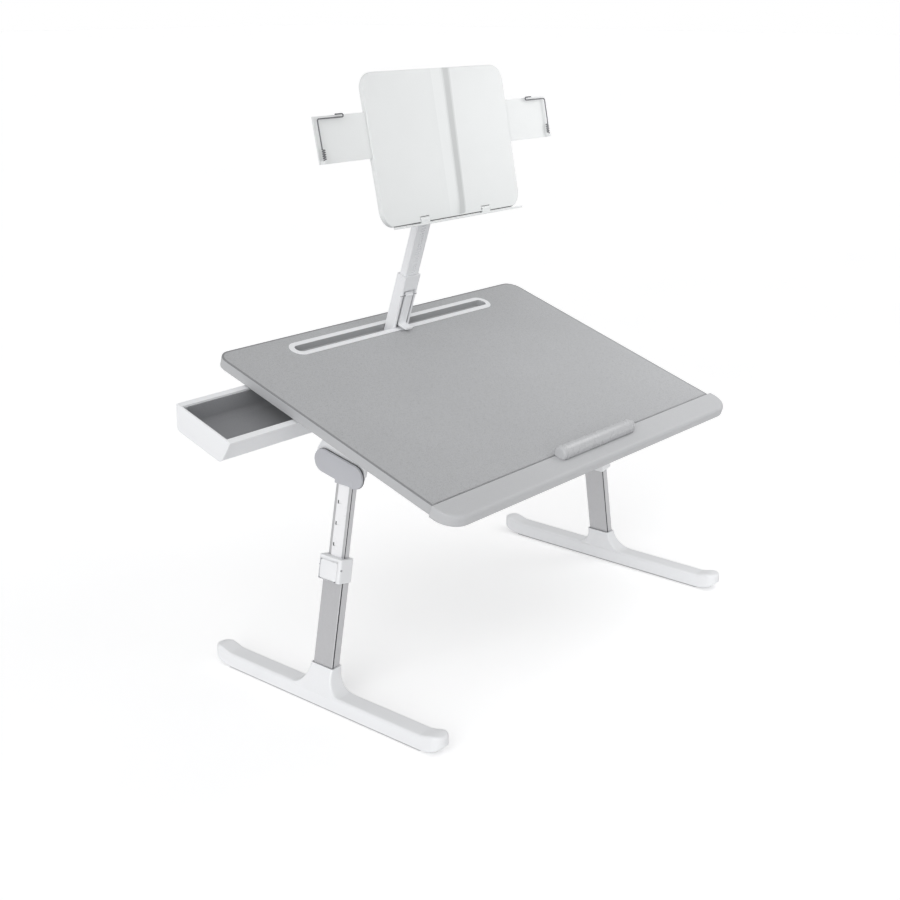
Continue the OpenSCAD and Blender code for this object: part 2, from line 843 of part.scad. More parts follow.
// The flip latch rocks on its pin between the sleeve's cheeks. Its pawl reaches a detent hole.
sleeve_x1 = outer_t / 2 + sleeve_out;
sleeve_x0 = -outer_t / 2 - sleeve_side;
sleeve_half_y = outer_w / 2 + sleeve_side;
latch_pin_r = 1.6;
latch_boss_r = 2.4;
latch_inset = 0.4;
latch_x1 = sleeve_x1 - latch_inset;
latch_x = latch_x1 - latch_boss_r;
latch_low_share = 0.58;
latch_below = latch_h * latch_low_share;
latch_well = 1.9;
pawl_r = detent_d / 2 - face_gap;
pawl_gap = 0.2;
pawl_x = inner_t / 2 + pawl_gap + pawl_r;

module pawl_window(grow) {
    h = pawl_r + grow;
    translate([0, detent_y - h, latch_w_mid - h - latch_t])
        cube([latch_x, 2 * h, 2 * (h + latch_t)]);
}

module outer_tube(side) {
    color(metal_c) on_leg(side) difference() {
        translate([0, 0, socket_w0]) block(outer_t, outer_w, outer_w1 - socket_w0, outer_r);
        translate([0, 0, socket_w0 - cut])
            block(outer_t - 2 * outer_wall, outer_w - 2 * outer_wall,
                  outer_w1 - socket_w0 + 2 * cut, outer_bore_r);
        pawl_window(slide_gap);
    }
}

module lock_sleeve(side) {
    gap = slide_gap;
    well_x0 = outer_t / 2 + latch_well;
    color(white_c) on_leg(side) difference() {
        translate([(sleeve_x0 + sleeve_x1) / 2, 0, sleeve_w0])
            block(sleeve_x1 - sleeve_x0, 2 * sleeve_half_y, sleeve_h, sleeve_r);
        translate([0, 0, sleeve_w0 - cut])
            block(outer_t + 2 * face_gap, outer_w + 2 * face_gap,
                  outer_w1 - sleeve_w0 + cut + face_gap, outer_r);
        translate([0, 0, sleeve_w0])
            block(inner_t + 2 * gap, inner_w + 2 * gap, sleeve_h + cut, tube_r);
        translate([well_x0, -latch_w / 2 - gap, latch_w_mid - latch_below - gap])
            cube([sleeve_x1, latch_w + 2 * gap, latch_h + 2 * gap]);
        pawl_window(gap);
        rod_y(-sleeve_half_y - cut, sleeve_half_y + cut, latch_x, latch_w_mid,
              latch_pin_r + pin_fit);
    }
}

module latch_pin(side) {
    color(metal_c) on_leg(side)
        rod_y(-sleeve_half_y, sleeve_half_y, latch_x, latch_w_mid, latch_pin_r);
}

module flip_latch(side) {
    color(white_c) on_leg(side) difference() {
        union() {
            translate([latch_x1 - latch_t, -latch_w / 2, latch_w_mid - latch_below])
                cube([latch_t, latch_w, latch_h]);
            rod_y(-latch_w / 2, latch_w / 2, latch_x, latch_w_mid, latch_boss_r);
            rod_y(detent_y - pawl_r, detent_y + pawl_r, pawl_x, latch_w_mid, pawl_r);
            translate([pawl_x, detent_y - pawl_r, latch_w_mid - pawl_r])
                cube([latch_x - pawl_x, 2 * pawl_r, 2 * pawl_r]);
        }
        rod_y(-sleeve_half_y, sleeve_half_y, latch_x, latch_w_mid, latch_pin_r + run_fit);
    }
}

// Feet

neck_wall = 2.5;
sole_r = 4;
foot_end_r = 9;
foot_edge = 1;
tip_l = 30;
tip_rise = 11;
tip_curve_r = (tip_l ^ 2 + tip_rise ^ 2) / (2 * tip_rise);

module on_foot(side) {
    in_place() sided(side) translate([leg_x, leg_y, 0]) children();
}

// Side view of the foot bar: flat sole, ends that curve up, and a knob at each tip
module foot_side() {
    half = foot_l / 2;
    knob = foot_end_r - foot_edge;
    intersection() {
        union() {
            translate([-half + knob, sole_t]) square([2 * (half - knob), foot_h - sole_t]);
            for (s = [-1, 1]) {
                translate([s * (half - knob), foot_tip_h - knob]) circle(knob);
                polygon([[s * (half - knob), foot_tip_h], [s * (half - tip_l), foot_h],
                         [s * (half - tip_l), sole_t], [s * (half - knob), foot_tip_h - 2 * knob]]);
            }
        }
        union() {
            translate([-half + tip_l, 0]) square([2 * (half - tip_l), foot_tip_h]);
            for (s = [-1, 1])
                translate([s * (half - tip_l), sole_t + tip_curve_r]) circle(tip_curve_r);
        }
    }
}

// Side view of the neck with its two flares
module neck_side() {
    b = outer_w / 2 + neck_wall;
    z0 = foot_h - foot_edge;
    for (s = [0, 1]) mirror([s, 0]) difference() {
        translate([0, z0]) square([b + flare_r, neck_z1 - z0]);
        translate([b + flare_r, z0 + flare_r]) circle(flare_r);
        translate([b, z0 + flare_r]) square([flare_r + cut, neck_z1]);
    }
}

neck_z1 = neck_w1 * cos(splay);

module foot(side) {
    half_x = foot_w / 2 - foot_edge;
    top_x = outer_t / 2 + neck_wall;
    shift = -neck_z1 * tan(splay);
    color(white_c) difference() {
        on_foot(side) {
            intersection() {
                translate([0, -foot_shift, 0]) along_x(-foot_w / 2, foot_w / 2) foot_side();
                translate([0, -foot_shift, 0]) block(foot_w, foot_l, foot_tip_h, foot_end_r);
            }
            intersection() {
                along_x(-foot_w, foot_w) neck_side();
                translate([0, foot_l / 2, 0]) rotate([90, 0, 0]) linear_extrude(foot_l)
                    polygon([[-half_x, foot_h - foot_edge], [half_x, foot_h - foot_edge],
                             [shift + top_x, neck_z1], [shift - top_x, neck_z1]]);
            }
        }
        on_leg(side) translate([0, 0, socket_w0 - face_gap])
            block(outer_t + 2 * face_gap, outer_w + 2 * face_gap, neck_w1, outer_r);
    }
}

module foot_rubber(side) {
    half = foot_l / 2;
    color(rubber_c) on_foot(side) translate([0, -foot_shift, 0])
        block(foot_w - 2 * foot_edge, 2 * (half - tip_l), sole_t, sole_r);
}

// Book stand

post_n0 = -post_seat;
post_r = 2;
post_bore_r = 1;
rod_r = 1.5;
post_front = -post_d / 2;
rod_front = -rod_d / 2;
lever_w = 15;
lever_low = 22;
lever_high = 75;
lever_pivot = 70;
lever_pin_r = 0.9;
lever_proud = 1;
lever_back = 0.9;
lever_in = rod_front - lever_back;
lever_out = post_front - lever_proud;
lever_v = (lever_in + lever_out) / 2;
window_w = 24;
tab_reach = 14.5;
tab_t = 3;
knob_r = 2.4;
tooth_pitch = 4;
tooth_depth = 0.9;
tooth_w = 8;

module on_post() {
    on_table() translate([0, slot_v, post_n0]) children();
}

module stand_post() {
    color(white_c) on_post() difference() {
        block(post_w, post_d, post_l, post_r);
        translate([0, 0, post_wall])
            block(post_w - 2 * post_wall, post_d - 2 * post_wall, post_l, post_bore_r);
        translate([-window_w / 2, post_front - cut, lever_low - tab_t])
            cube([window_w, post_wall + 2 * cut, lever_high - lever_low + 2 * tab_t]);
        rod_x(-post_w / 2 - cut, post_w / 2 + cut, lever_v, lever_pivot, lever_pin_r + pin_fit);
        rod_x(-post_w / 2 - cut, post_w / 2 + cut, 0, post_pin_w, post_pin_r + pin_fit);
    }
}

post_pin_r = 1.6;
post_pin_w = 6.5;

module post_pin() {
    color(metal_c) on_post() rod_x(-post_w / 2, post_w / 2, 0, post_pin_w, post_pin_r);
}

module lever_pin() {
    color(metal_c) on_post() rod_x(-post_w / 2, post_w / 2, lever_v, lever_pivot, lever_pin_r);
}

module stand_lever() {
    color(white_c) on_post() difference() {
        union() {
            translate([-lever_w / 2, lever_out, lever_low])
                cube([lever_w, lever_in - lever_out, lever_high - lever_low]);
            translate([-lever_w / 2, lever_out - tab_reach, lever_low])
                cube([lever_w, tab_reach + cut, tab_t]);
            rod_x(-lever_w / 2, lever_w / 2, lever_v, lever_pivot, knob_r);
        }
        rod_x(-lever_w, lever_w, lever_v, lever_pivot, lever_pin_r + run_fit);
    }
}

eye_r = 7;
eye_w = 15.6;
board_pin_r = 3;
neck_l = 12;
rod_n0 = post_n0 + post_l - rod_in;
rod_l = pivot_h - neck_l - rod_n0;
teeth = 30;

module inner_post() {
    color(white_c) on_table() translate([0, slot_v, 0]) difference() {
        union() {
            translate([0, 0, rod_n0]) block(rod_w, rod_d, rod_l, rod_r);
            rod_x(-eye_w / 2, eye_w / 2, 0, pivot_h, eye_r);
            translate([-eye_w / 2, rod_front, pivot_h - neck_l - cut])
                cube([eye_w, rod_d, neck_l + cut]);
        }
        rod_x(-eye_w, eye_w, 0, pivot_h, board_pin_r + run_fit);
        for (i = [0:teeth - 1])
            translate([-tooth_w / 2, rod_front - cut, rod_n0 + (i + 1) * tooth_pitch])
                cube([tooth_w, tooth_depth + cut, tooth_pitch / 2]);
    }
}

board_back_y = -board_back_gap;
board_front_y = board_back_y - board_t;
cavity_gap = 0.2;
wing_y0 = board_front_y + shell_t + cavity_gap;
wing_z0 = wing_low - board_low;
ledge_pin_r = 1;
ledge_pin_in = 1.6;
ledge_play = 0.5;
ledge_hang = ledge_pin_in + ridge_h + ledge_play;
ledge_axis_y = board_front_y + ledge_pin_in;
ledge_axis_z = -board_low + ledge_hang - ledge_play;
ledge_knuckle_r = 3;
ledge_r = 3;
ledge_pin_bite = 6;
ledge_pin_half = knuckle_w / 2 + ledge_pin_bite;
notch_h = ledge_axis_z + board_low + ledge_knuckle_r + slide_gap;
notch_d = ledge_pin_in + ledge_knuckle_r + slide_gap;
notch_half = knuckle_w / 2 + slide_gap;

module board_outline() {
    translate([0, board_h / 2 - board_low]) rounded(board_w, board_h, board_r);
}

// Stands a flat shape of x and z up on the board, from y0 to y1
module board_plate(y0, y1) {
    translate([0, y1, 0]) rotate([90, 0, 0]) linear_extrude(y1 - y0) children();
}

// The notches for the ledge's knuckles and the holes for its pins
module ledge_notches() {
    for (s = [-1, 1]) {
        x = s * knuckle_span / 2;
        translate([x - notch_half, board_front_y - cut, -board_low - cut])
            cube([2 * notch_half, notch_d + cut, notch_h + cut]);
        rod_x(x - ledge_pin_half, x + ledge_pin_half, ledge_axis_y, ledge_axis_z,
              ledge_pin_r + pin_fit);
    }
}

ridge_steps = 12;

// The ridge's profile across the board: a soft wave with its foot at the front shell
function ridge_points() = concat(
    [for (i = [0:ridge_steps]) let (t = i / ridge_steps)
        [(t - 0.5) * ridge_w, -ridge_h / 2 * (1 - cos(360 * t))]],
    [[ridge_w / 2, shell_t / 2], [-ridge_w / 2, shell_t / 2]]);

module board_front() {
    color(white_c) on_board() difference() {
        union() {
            board_plate(board_front_y, board_front_y + shell_t) board_outline();
            intersection() {
                translate([0, board_front_y, -board_low]) linear_extrude(board_h)
                    polygon(ridge_points());
                union() {
                    rod_x(-ridge_w, ridge_w, ledge_axis_y, ledge_axis_z, ledge_hang - slide_gap);
                    translate([-ridge_w, board_front_y - ridge_h, ledge_axis_z])
                        cube([2 * ridge_w, board_t + ridge_h, board_h]);
                }
            }
        }
        ledge_notches();
    }
}

module board_back() {
    y0 = board_front_y + shell_t;
    color(white_c) on_board() difference() {
        board_plate(y0, board_back_y) board_outline();
        translate([-board_w / 2 - cut, y0 - cut, wing_z0 - cavity_gap])
            cube([board_w + 2 * cut, wing_t + cut + 2 * cavity_gap, wing_h + 2 * cavity_gap]);
        ledge_notches();
    }
}

module ledge_pins() {
    color(metal_c) on_board() for (s = [-1, 1])
        rod_x(s * knuckle_span / 2 - ledge_pin_half + face_gap,
              s * knuckle_span / 2 + ledge_pin_half - face_gap,
              ledge_axis_y, ledge_axis_z, ledge_pin_r);
}

ear_x0 = eye_w / 2 + slide_gap;
bracket_ear = 4;
bracket_w = 60;
bracket_h = 50;
bracket_plate = 1.8;

module board_bracket() {
    color(white_c) on_board() difference() {
        union() {
            translate([-bracket_w / 2, board_back_y, -bracket_h / 2])
                cube([bracket_w, bracket_plate, bracket_h]);
            for (s = [-1, 1]) {
                x0 = s > 0 ? ear_x0 : -ear_x0 - bracket_ear;
                rod_x(x0, x0 + bracket_ear, 0, 0, eye_r);
                translate([x0, board_back_y, -eye_r])
                    cube([bracket_ear, board_back_gap, 2 * eye_r]);
            }
        }
        rod_x(-bracket_w, bracket_w, 0, 0, board_pin_r + pin_fit);
    }
}

module board_pin() {
    half = ear_x0 + bracket_ear + cut;
    color(metal_c) on_board() rod_x(-half, half, 0, 0, board_pin_r);
}

module page_ledge() {
    plate_top = ledge_axis_z - ledge_hang;
    front = board_front_y - ledge_d;
    back = board_front_y + board_t / 2;
    r = ledge_knuckle_r;
    color(white_c) on_board() difference() {
        union() {
            translate([0, (front + back) / 2, plate_top - ledge_t])
                block(ledge_l, back - front, ledge_t, ledge_r);
            for (s = [-1, 1]) translate([s * knuckle_span / 2, 0, 0]) {
                rod_x(-knuckle_w / 2, knuckle_w / 2, ledge_axis_y, ledge_axis_z, r);
                translate([-knuckle_w / 2, ledge_axis_y - r, plate_top - ledge_t / 2])
                    cube([knuckle_w, 2 * r, ledge_hang + ledge_t / 2]);
            }
        }
        for (s = [-1, 1])
            rod_x(s * knuckle_span / 2 - knuckle_w, s * knuckle_span / 2 + knuckle_w,
                  ledge_axis_y, ledge_axis_z, ledge_pin_r + run_fit);
    }
}

// Wings and their wire clips

wing_x1 = board_w / 2 + wing_out;
wire_r = wire_d / 2;
wire_clear = 0.6;
wire_y = board_front_y - wire_r - wire_clear;
wire_edge = 3.5;
wire_x = wing_x1 - wire_edge;
lug = 4;
lug_wall = 1;
coil_lead = 1;
coil_z0 = wing_z0 + lug + coil_lead;
coil_turns = 5;
turn_gap = 0.5;
coil_pitch = wire_d + turn_gap;
coil_r = (coil_d - wire_d) / 2;
arm_drop = 3.7;
arm_z = wing_z0 + wing_h - arm_drop;
bend_r = 3;
loop_l = 12;
loop_r = 2;

module wing(side) {
    lug_y = wire_y - wire_r - lug_wall;
    color(white_c) on_board() sided(side) difference() {
        union() {
            translate([wing_x1 - wing_l, wing_y0, wing_z0]) cube([wing_l, wing_t, wing_h]);
            translate([wire_x - lug / 2, lug_y, wing_z0]) cube([lug, wing_y0 - lug_y + cut, lug]);
        }
        rod_z(wire_x, wire_y, wing_z0 - cut, wing_z0 + lug + cut, wire_r + run_fit);
    }
}

// The clip wire: a tail in the lug, the coil, the upright, the arm and the loop at its end
coil_steps = 8;
coil_path = [for (i = [0:coil_turns * coil_steps]) let (a = 360 * i / coil_steps)
    [wire_x - coil_r + coil_r * cos(a), wire_y - coil_r * sin(a),
     coil_z0 + coil_pitch * i / coil_steps]];
coil_z1 = coil_z0 + coil_turns * coil_pitch;
function corner(x, z, r, a0, a1) = [for (i = [0:4]) let (a = lerp(a0, a1, i / 4))
    [x + r * cos(a), wire_y, z + r * sin(a)]];
wire_path = concat(
    [[wire_x, wire_y, wing_z0 + face_gap], [wire_x, wire_y, coil_z0 - coil_lead]],
    coil_path,
    [[wire_x, wire_y, coil_z1 + 2 * coil_lead]],
    corner(wire_x - bend_r, arm_z - bend_r, bend_r, 0, 90),
    [[wire_x - arm_reach + loop_r, wire_y, arm_z]],
    corner(wire_x - arm_reach + loop_r, arm_z + loop_r, loop_r, 270, 90),
    [[wire_x - arm_reach + loop_r + loop_l, wire_y, arm_z + 2 * loop_r]]);

function path_dir(p, i) = unit(p[min(i + 1, len(p) - 1)] - p[max(i - 1, 0)]);
function next_side(v, d) = unit(v - (v * d) * d);
function path_sides(p, i, v) =
    i == len(p) ? [] : let (w = next_side(v, path_dir(p, i))) concat([w], path_sides(p, i + 1, w));

module wire(p, r, sides) {
    across = path_sides(p, 0, [1, 0, 0]);
    skin([for (i = [0:len(p) - 1]) let (d = path_dir(p, i), v = across[i], w = cross(d, v))
        [for (k = [0:sides - 1]) let (a = -360 * k / sides) p[i] + r * (cos(a) * v + sin(a) * w)]]);
}

// The least gap between two turns of the coil, from its points
coil_gap = min([for (i = [0:len(coil_path) - 1], j = [i + coil_steps / 2:1:len(coil_path) - 1])
    norm(coil_path[j] - coil_path[i])]) - wire_d;
echo(coil_gap = coil_gap);

module page_clip(side) {
    color(wire_c) on_board() sided(side) wire(wire_path, wire_r, 8);
}

top_board();
leather_top();
edge_band();
front_lip();
slot_tray();
drawer_rail_front();
drawer_rail_back();
underside_screws();
hinge_base(-1);  // hinge_base_left
hinge_base(1);  // hinge_base_right
fold_pin(-1);  // fold_pin_left
fold_pin(1);  // fold_pin_right
stopper_bar();
drawer();
drawer_liner();
fold_arm(-1);  // fold_arm_left
fold_arm(1);  // fold_arm_right
tilt_pin(-1);  // tilt_pin_left
tilt_pin(1);  // tilt_pin_right
leg_head(-1);  // leg_head_left
leg_head(1);  // leg_head_right
head_cover(-1);  // head_cover_left
head_cover(1);  // head_cover_right
tilt_fasteners(-1);  // tilt_fasteners_left
tilt_fasteners(1);  // tilt_fasteners_right
inner_tube(-1);  // inner_tube_left
inner_tube(1);  // inner_tube_right
detent_strip(-1);  // detent_strip_left
detent_strip(1);  // detent_strip_right
tube_guide(-1);  // tube_guide_left
tube_guide(1);  // tube_guide_right
lock_sleeve(-1);  // lock_sleeve_left
lock_sleeve(1);  // lock_sleeve_right
latch_pin(-1);  // latch_pin_left
latch_pin(1);  // latch_pin_right
outer_tube(-1);  // outer_tube_left
outer_tube(1);  // outer_tube_right
foot(-1);  // foot_left
foot(1);  // foot_right
foot_rubber(-1);  // foot_rubber_left
foot_rubber(1);  // foot_rubber_right
flip_latch(-1);  // flip_latch_left
flip_latch(1);  // flip_latch_right
stand_post();
post_pin();
lever_pin();
stand_lever();
inner_post();
board_front();
board_back();
board_bracket();
board_pin();
ledge_pins();
page_ledge();
wing(-1);  // wing_left
wing(1);  // wing_right
page_clip(-1);  // page_clip_left
page_clip(1);  // page_clip_right
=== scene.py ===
"""The looks of the folding laptop table: camera, light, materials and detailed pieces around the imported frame."""

import json
import math

import bmesh
import bpy
from mathutils import Matrix, Vector

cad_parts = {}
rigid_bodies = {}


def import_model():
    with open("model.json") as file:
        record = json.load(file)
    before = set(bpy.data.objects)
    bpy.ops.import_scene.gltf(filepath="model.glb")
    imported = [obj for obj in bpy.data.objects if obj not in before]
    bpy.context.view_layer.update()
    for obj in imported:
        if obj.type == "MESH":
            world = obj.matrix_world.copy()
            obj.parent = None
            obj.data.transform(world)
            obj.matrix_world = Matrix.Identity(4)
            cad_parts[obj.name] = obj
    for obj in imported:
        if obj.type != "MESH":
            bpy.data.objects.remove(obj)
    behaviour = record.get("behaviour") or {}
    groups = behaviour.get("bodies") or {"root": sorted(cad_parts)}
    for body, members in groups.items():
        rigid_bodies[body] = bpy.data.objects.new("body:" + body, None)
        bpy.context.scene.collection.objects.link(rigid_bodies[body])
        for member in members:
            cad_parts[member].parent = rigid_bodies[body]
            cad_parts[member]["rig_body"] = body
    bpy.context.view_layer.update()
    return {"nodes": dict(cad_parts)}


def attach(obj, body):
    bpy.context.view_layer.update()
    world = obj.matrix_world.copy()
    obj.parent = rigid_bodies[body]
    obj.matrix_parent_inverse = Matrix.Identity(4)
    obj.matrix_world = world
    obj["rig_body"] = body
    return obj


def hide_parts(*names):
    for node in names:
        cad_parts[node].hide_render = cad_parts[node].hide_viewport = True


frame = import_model()
scene = bpy.context.scene
nodes = frame["nodes"]

# ---------------------------------------------------------------- sizes, in millimetres, and frames
# MID is the middle of the frame; SEAM_H and SLOPE place the top at its front seam; LEG and TILT are the legs' foot
# and head; SLOT_V, PIVOT_N and LEAN place the book stand on the top and its board; PEG is the stopper's
MID_X, MID_Y = -42.0364, 174.0836
SEAM_H, SLOPE = 314.3, math.radians(18)
LEG_X, LEG_Y, SPLAY = 326.677, 184.224, math.radians(11)
TILT_Y, TILT_Z = 197.624, 307.013
SLOT_V, PIVOT_N, LEAN = 360.0, 262.4, math.radians(29.6)
STOPPER_X, PEG_X, PEG_R = 8, 50, 3


def mirror(side):
    """The mirror at the middle plane for the left side, nothing for the right."""
    return Matrix.Scale(-1, 4, (1, 0, 0)) if side < 0 else Matrix.Identity(4)


def rot(angle, axis):
    return Matrix.Rotation(angle, 4, axis)


IN_PLACE = Matrix.Scale(0.001, 4) @ Matrix.Translation((-MID_X, -MID_Y, 0))
TABLE = IN_PLACE @ Matrix.Translation((0, 0, SEAM_H)) @ rot(SLOPE, "X")
BOARD = TABLE @ Matrix.Translation((0, SLOT_V, PIVOT_N)) @ rot(-LEAN, "X")
LEG = {s: IN_PLACE @ mirror(s) @ Matrix.Translation((LEG_X, LEG_Y, 0)) @ rot(-SPLAY, "Y") for s in (-1, 1)}
TILT = {s: IN_PLACE @ mirror(s) @ Matrix.Translation((0, TILT_Y, TILT_Z)) for s in (-1, 1)}
FOOT = {s: IN_PLACE @ mirror(s) @ Matrix.Translation((LEG_X, LEG_Y, 0)) for s in (-1, 1)}
SIDE = {-1: "left", 1: "right"}

# ---------------------------------------------------------------- camera
cam_data = bpy.data.cameras.new("camera")
cam_data.sensor_width = 36
cam_data.lens = 55.92
cam_data.clip_start = 0.02
cam_data.clip_end = 60
camera = bpy.data.objects.new("camera", cam_data)
camera.location = (-1.433221, -1.181357, 0.8857)
camera.rotation_euler = (math.radians(71.9023), 0, math.radians(-49.783))
scene.collection.objects.link(camera)
scene.camera = camera


# ---------------------------------------------------------------- materials
def lin(v):
    """A value of 0 to 255 as it shows on a screen, as linear light."""
    v = v / 255
    return v / 12.92 if v <= 0.04045 else ((v + 0.055) / 1.055) ** 2.4


def colour(r, g, b, times=1.0):
    """A shader colour from values of 0 to 255, times a factor."""
    return (*[min(1.0, lin(c) * times) for c in (r, g, b)], 1.0)


class Paint:
    """A material with a Principled shader and small helpers to build its nodes."""

    def __init__(self, name):
        self.mat = bpy.data.materials.new(name)
        self.mat.use_nodes = True
        self.tree = self.mat.node_tree
        self.shader = next(n for n in self.tree.nodes if n.type == "BSDF_PRINCIPLED")
        self.coords = self.add("ShaderNodeTexCoord").outputs["Object"]

    def add(self, kind, **values):
        node = self.tree.nodes.new(kind)
        for key, value in values.items():
            setattr(node, key, value)
        return node

    def link(self, out, socket):
        self.tree.links.new(out, socket)

    def warp(self, scale, amount, coords=None):
        """Coordinates that noise has shifted a little."""
        n = self.noise(scale, 2, 0.5, coords)
        centre = self.add("ShaderNodeVectorMath", operation="SUBTRACT")
        self.link(n.outputs["Color"], centre.inputs[0])
        centre.inputs[1].default_value = (0.5, 0.5, 0.5)
        size = self.add("ShaderNodeVectorMath", operation="SCALE")
        self.link(centre.outputs[0], size.inputs[0])
        size.inputs["Scale"].default_value = amount
        out = self.add("ShaderNodeVectorMath", operation="ADD")
        self.link(coords or self.coords, out.inputs[0])
        self.link(size.outputs[0], out.inputs[1])
        return out.outputs[0]

    def mapped(self, scale=(1, 1, 1), turn=(0, 0, 0)):
        m = self.add("ShaderNodeMapping")
        m.inputs["Scale"].default_value = scale
        m.inputs["Rotation"].default_value = turn
        self.link(self.coords, m.inputs["Vector"])
        return m.outputs[0]

    def noise(self, scale, detail=2.0, rough=0.5, coords=None):
        n = self.add("ShaderNodeTexNoise")
        n.inputs["Scale"].default_value = scale
        n.inputs["Detail"].default_value = detail
        n.inputs["Roughness"].default_value = rough
        self.link(coords or self.coords, n.inputs["Vector"])
        return n

    def voronoi(self, scale, feature, coords=None, smooth=None):
        v = self.add("ShaderNodeTexVoronoi", feature=feature)
        v.inputs["Scale"].default_value = scale
        if smooth is not None:
            v.inputs["Smoothness"].default_value = smooth
        self.link(coords or self.coords, v.inputs["Vector"])
        return v.outputs["Distance"]

    def ramp(self, value, a, b, x=0.0, y=1.0, smooth=False):
        """value from a..b as x..y, clamped."""
        m = self.add("ShaderNodeMapRange", clamp=True)
        if smooth:
            m.interpolation_type = "SMOOTHSTEP"
        self.link(value, m.inputs["Value"])
        m.inputs["From Min"].default_value = a
        m.inputs["From Max"].default_value = b
        m.inputs["To Min"].default_value = x
        m.inputs["To Max"].default_value = y
        return m.outputs["Result"]

    def mix(self, factor, a, b):
        """Colours or sockets a and b, mixed."""
        m = self.add("ShaderNodeMix", data_type="RGBA")
        self.link(factor, m.inputs["Factor"])
        for value, socket in ((a, m.inputs[6]), (b, m.inputs[7])):
            if isinstance(value, tuple):
                socket.default_value = value
            else:
                self.link(value, socket)
        return m.outputs[2]

    def times(self, a, b):
        m = self.add("ShaderNodeMath", operation="MULTIPLY")
        for value, socket in ((a, m.inputs[0]), (b, m.inputs[1])):
            if isinstance(value, (int, float)):
                socket.default_value = value
            else:
                self.link(value, socket)
        return m.outputs[0]

    def bump(self, height, strength, distance, normal=None):
        b = self.add("ShaderNodeBump")
        b.inputs["Strength"].default_value = strength
        b.inputs["Distance"].default_value = distance
        self.link(height, b.inputs["Height"])
        if normal is not None:
            self.link(normal, b.inputs["Normal"])
        return b.outputs["Normal"]

    def set(self, **values):
        for key, value in values.items():
            name = key.replace("_", " ").title().replace("Ior", "IOR")
            self.shader.inputs[name].default_value = value

    def wire(self, name, out):
        self.link(out, self.shader.inputs[name])


def plastic(name, tone, rough=0.42, drift=0.02, grain=0.06, grain_size=1500, speck=0.0, spec=0.5):
    """Moulded plastic: a slight drift of tone, an uneven gloss and a fine moulded grain."""
    p = Paint(name)
    slow = p.ramp(p.noise(7, 3).outputs[0], 0.3, 0.7)
    tint = p.mix(slow, colour(*tone, times=1 - drift), colour(*tone, times=1 + drift))
    if speck:
        fine = p.ramp(p.noise(1100, 2, 0.6).outputs[0], 0.35, 0.65)
        tint = p.mix(p.times(fine, speck), tint, colour(*tone, times=0.72))
    p.wire("Base Color", tint)
    p.wire("Roughness", p.ramp(p.noise(55, 5, 0.6).outputs[0], 0.3, 0.7, rough - 0.05, rough + 0.06))
    p.wire("Normal", p.bump(p.noise(grain_size, 3, 0.6).outputs[0], grain, 0.0002))
    p.set(specular_ior_level=spec)
    return p.mat


def leather(name, tone, cell=620.0):
    """Pebbled synthetic leather: domed cells between creases, with painted shade darkening the creases, over a slow
    drift of tone.
    """
    p = Paint(name)
    bent = p.warp(150, 0.0011)
    dome = p.voronoi(cell, "SMOOTH_F1", bent, 0.35)
    crease = p.ramp(p.voronoi(cell, "DISTANCE_TO_EDGE", bent), 0.0, 0.22, smooth=True)
    fine = p.noise(3200, 3, 0.6).outputs[0]
    slow = p.ramp(p.noise(5, 3).outputs[0], 0.3, 0.7)
    base = p.mix(slow, colour(*tone, times=0.97), colour(*tone, times=1.03))
    patch = p.ramp(p.noise(260, 2).outputs[0], 0.3, 0.7, 0.25, 0.6)
    # The creases are painted darker by an amount that varies: painted shade in the grain
    depth = p.add("ShaderNodeMath", operation="SUBTRACT")
    depth.inputs[0].default_value = 1.0
    p.link(crease, depth.inputs[1])
    p.wire("Base Color", p.mix(p.times(depth.outputs[0], patch), base, colour(*tone, times=0.62)))
    p.wire("Roughness", p.ramp(crease, 0, 1, 0.66, 0.5))
    low = p.bump(dome, 0.35, -0.0004)
    mid = p.bump(crease, 0.45, 0.00022, low)
    p.wire("Normal", p.bump(fine, 0.12, 0.0001, mid))
    p.set(specular_ior_level=0.42)
    return p.mat


def metal(name, tone, side, rough=0.36, streak=0.06):
    """Satin anodised aluminium with faint drawing lines along the tube."""
    p = Paint(name)
    along = p.mapped((950, 950, 14), (0, side * SPLAY, 0))
    lines = p.ramp(p.noise(1.0, 3, 0.6, along).outputs[0], 0.3, 0.7)
    slow = p.ramp(p.noise(11, 2).outputs[0], 0.3, 0.7)
    dark = p.mix(slow, colour(*tone, times=1 - streak), colour(*tone, times=1 - streak / 2))
    p.wire("Base Color", p.mix(lines, dark, colour(*tone, times=1 + streak / 2)))
    p.wire("Roughness", p.ramp(lines, 0, 1, rough - 0.05, rough + 0.07))
    p.wire("Normal", p.bump(lines, 0.08, 0.0001))
    p.set(metallic=0.72, specular_ior_level=0.5)
    return p.mat


def steel(name, tone=(168, 169, 171), rough=0.3):
    """Bare steel with a slightly uneven gloss."""
    p = Paint(name)
    spots = p.ramp(p.noise(420, 4, 0.65).outputs[0], 0.3, 0.7)
    p.wire("Base Color", p.mix(spots, colour(*tone, times=0.86), colour(*tone)))
    p.wire("Roughness", p.ramp(spots, 0, 1, rough + 0.12, rough))
    p.wire("Normal", p.bump(spots, 0.06, 0.0001))
    p.set(metallic=1.0)
    return p.mat


def rubber(name, tone):
    """Matt rubber with fine spots."""
    p = Paint(name)
    spots = p.ramp(p.noise(900, 4, 0.7).outputs[0], 0.3, 0.7)
    p.wire("Base Color", p.mix(spots, colour(*tone, times=0.85), colour(*tone)))
    p.wire("Roughness", p.ramp(spots, 0, 1, 0.9, 0.75))
    p.wire("Normal", p.bump(spots, 0.2, 0.0002))
    p.set(specular_ior_level=0.25)
    return p.mat


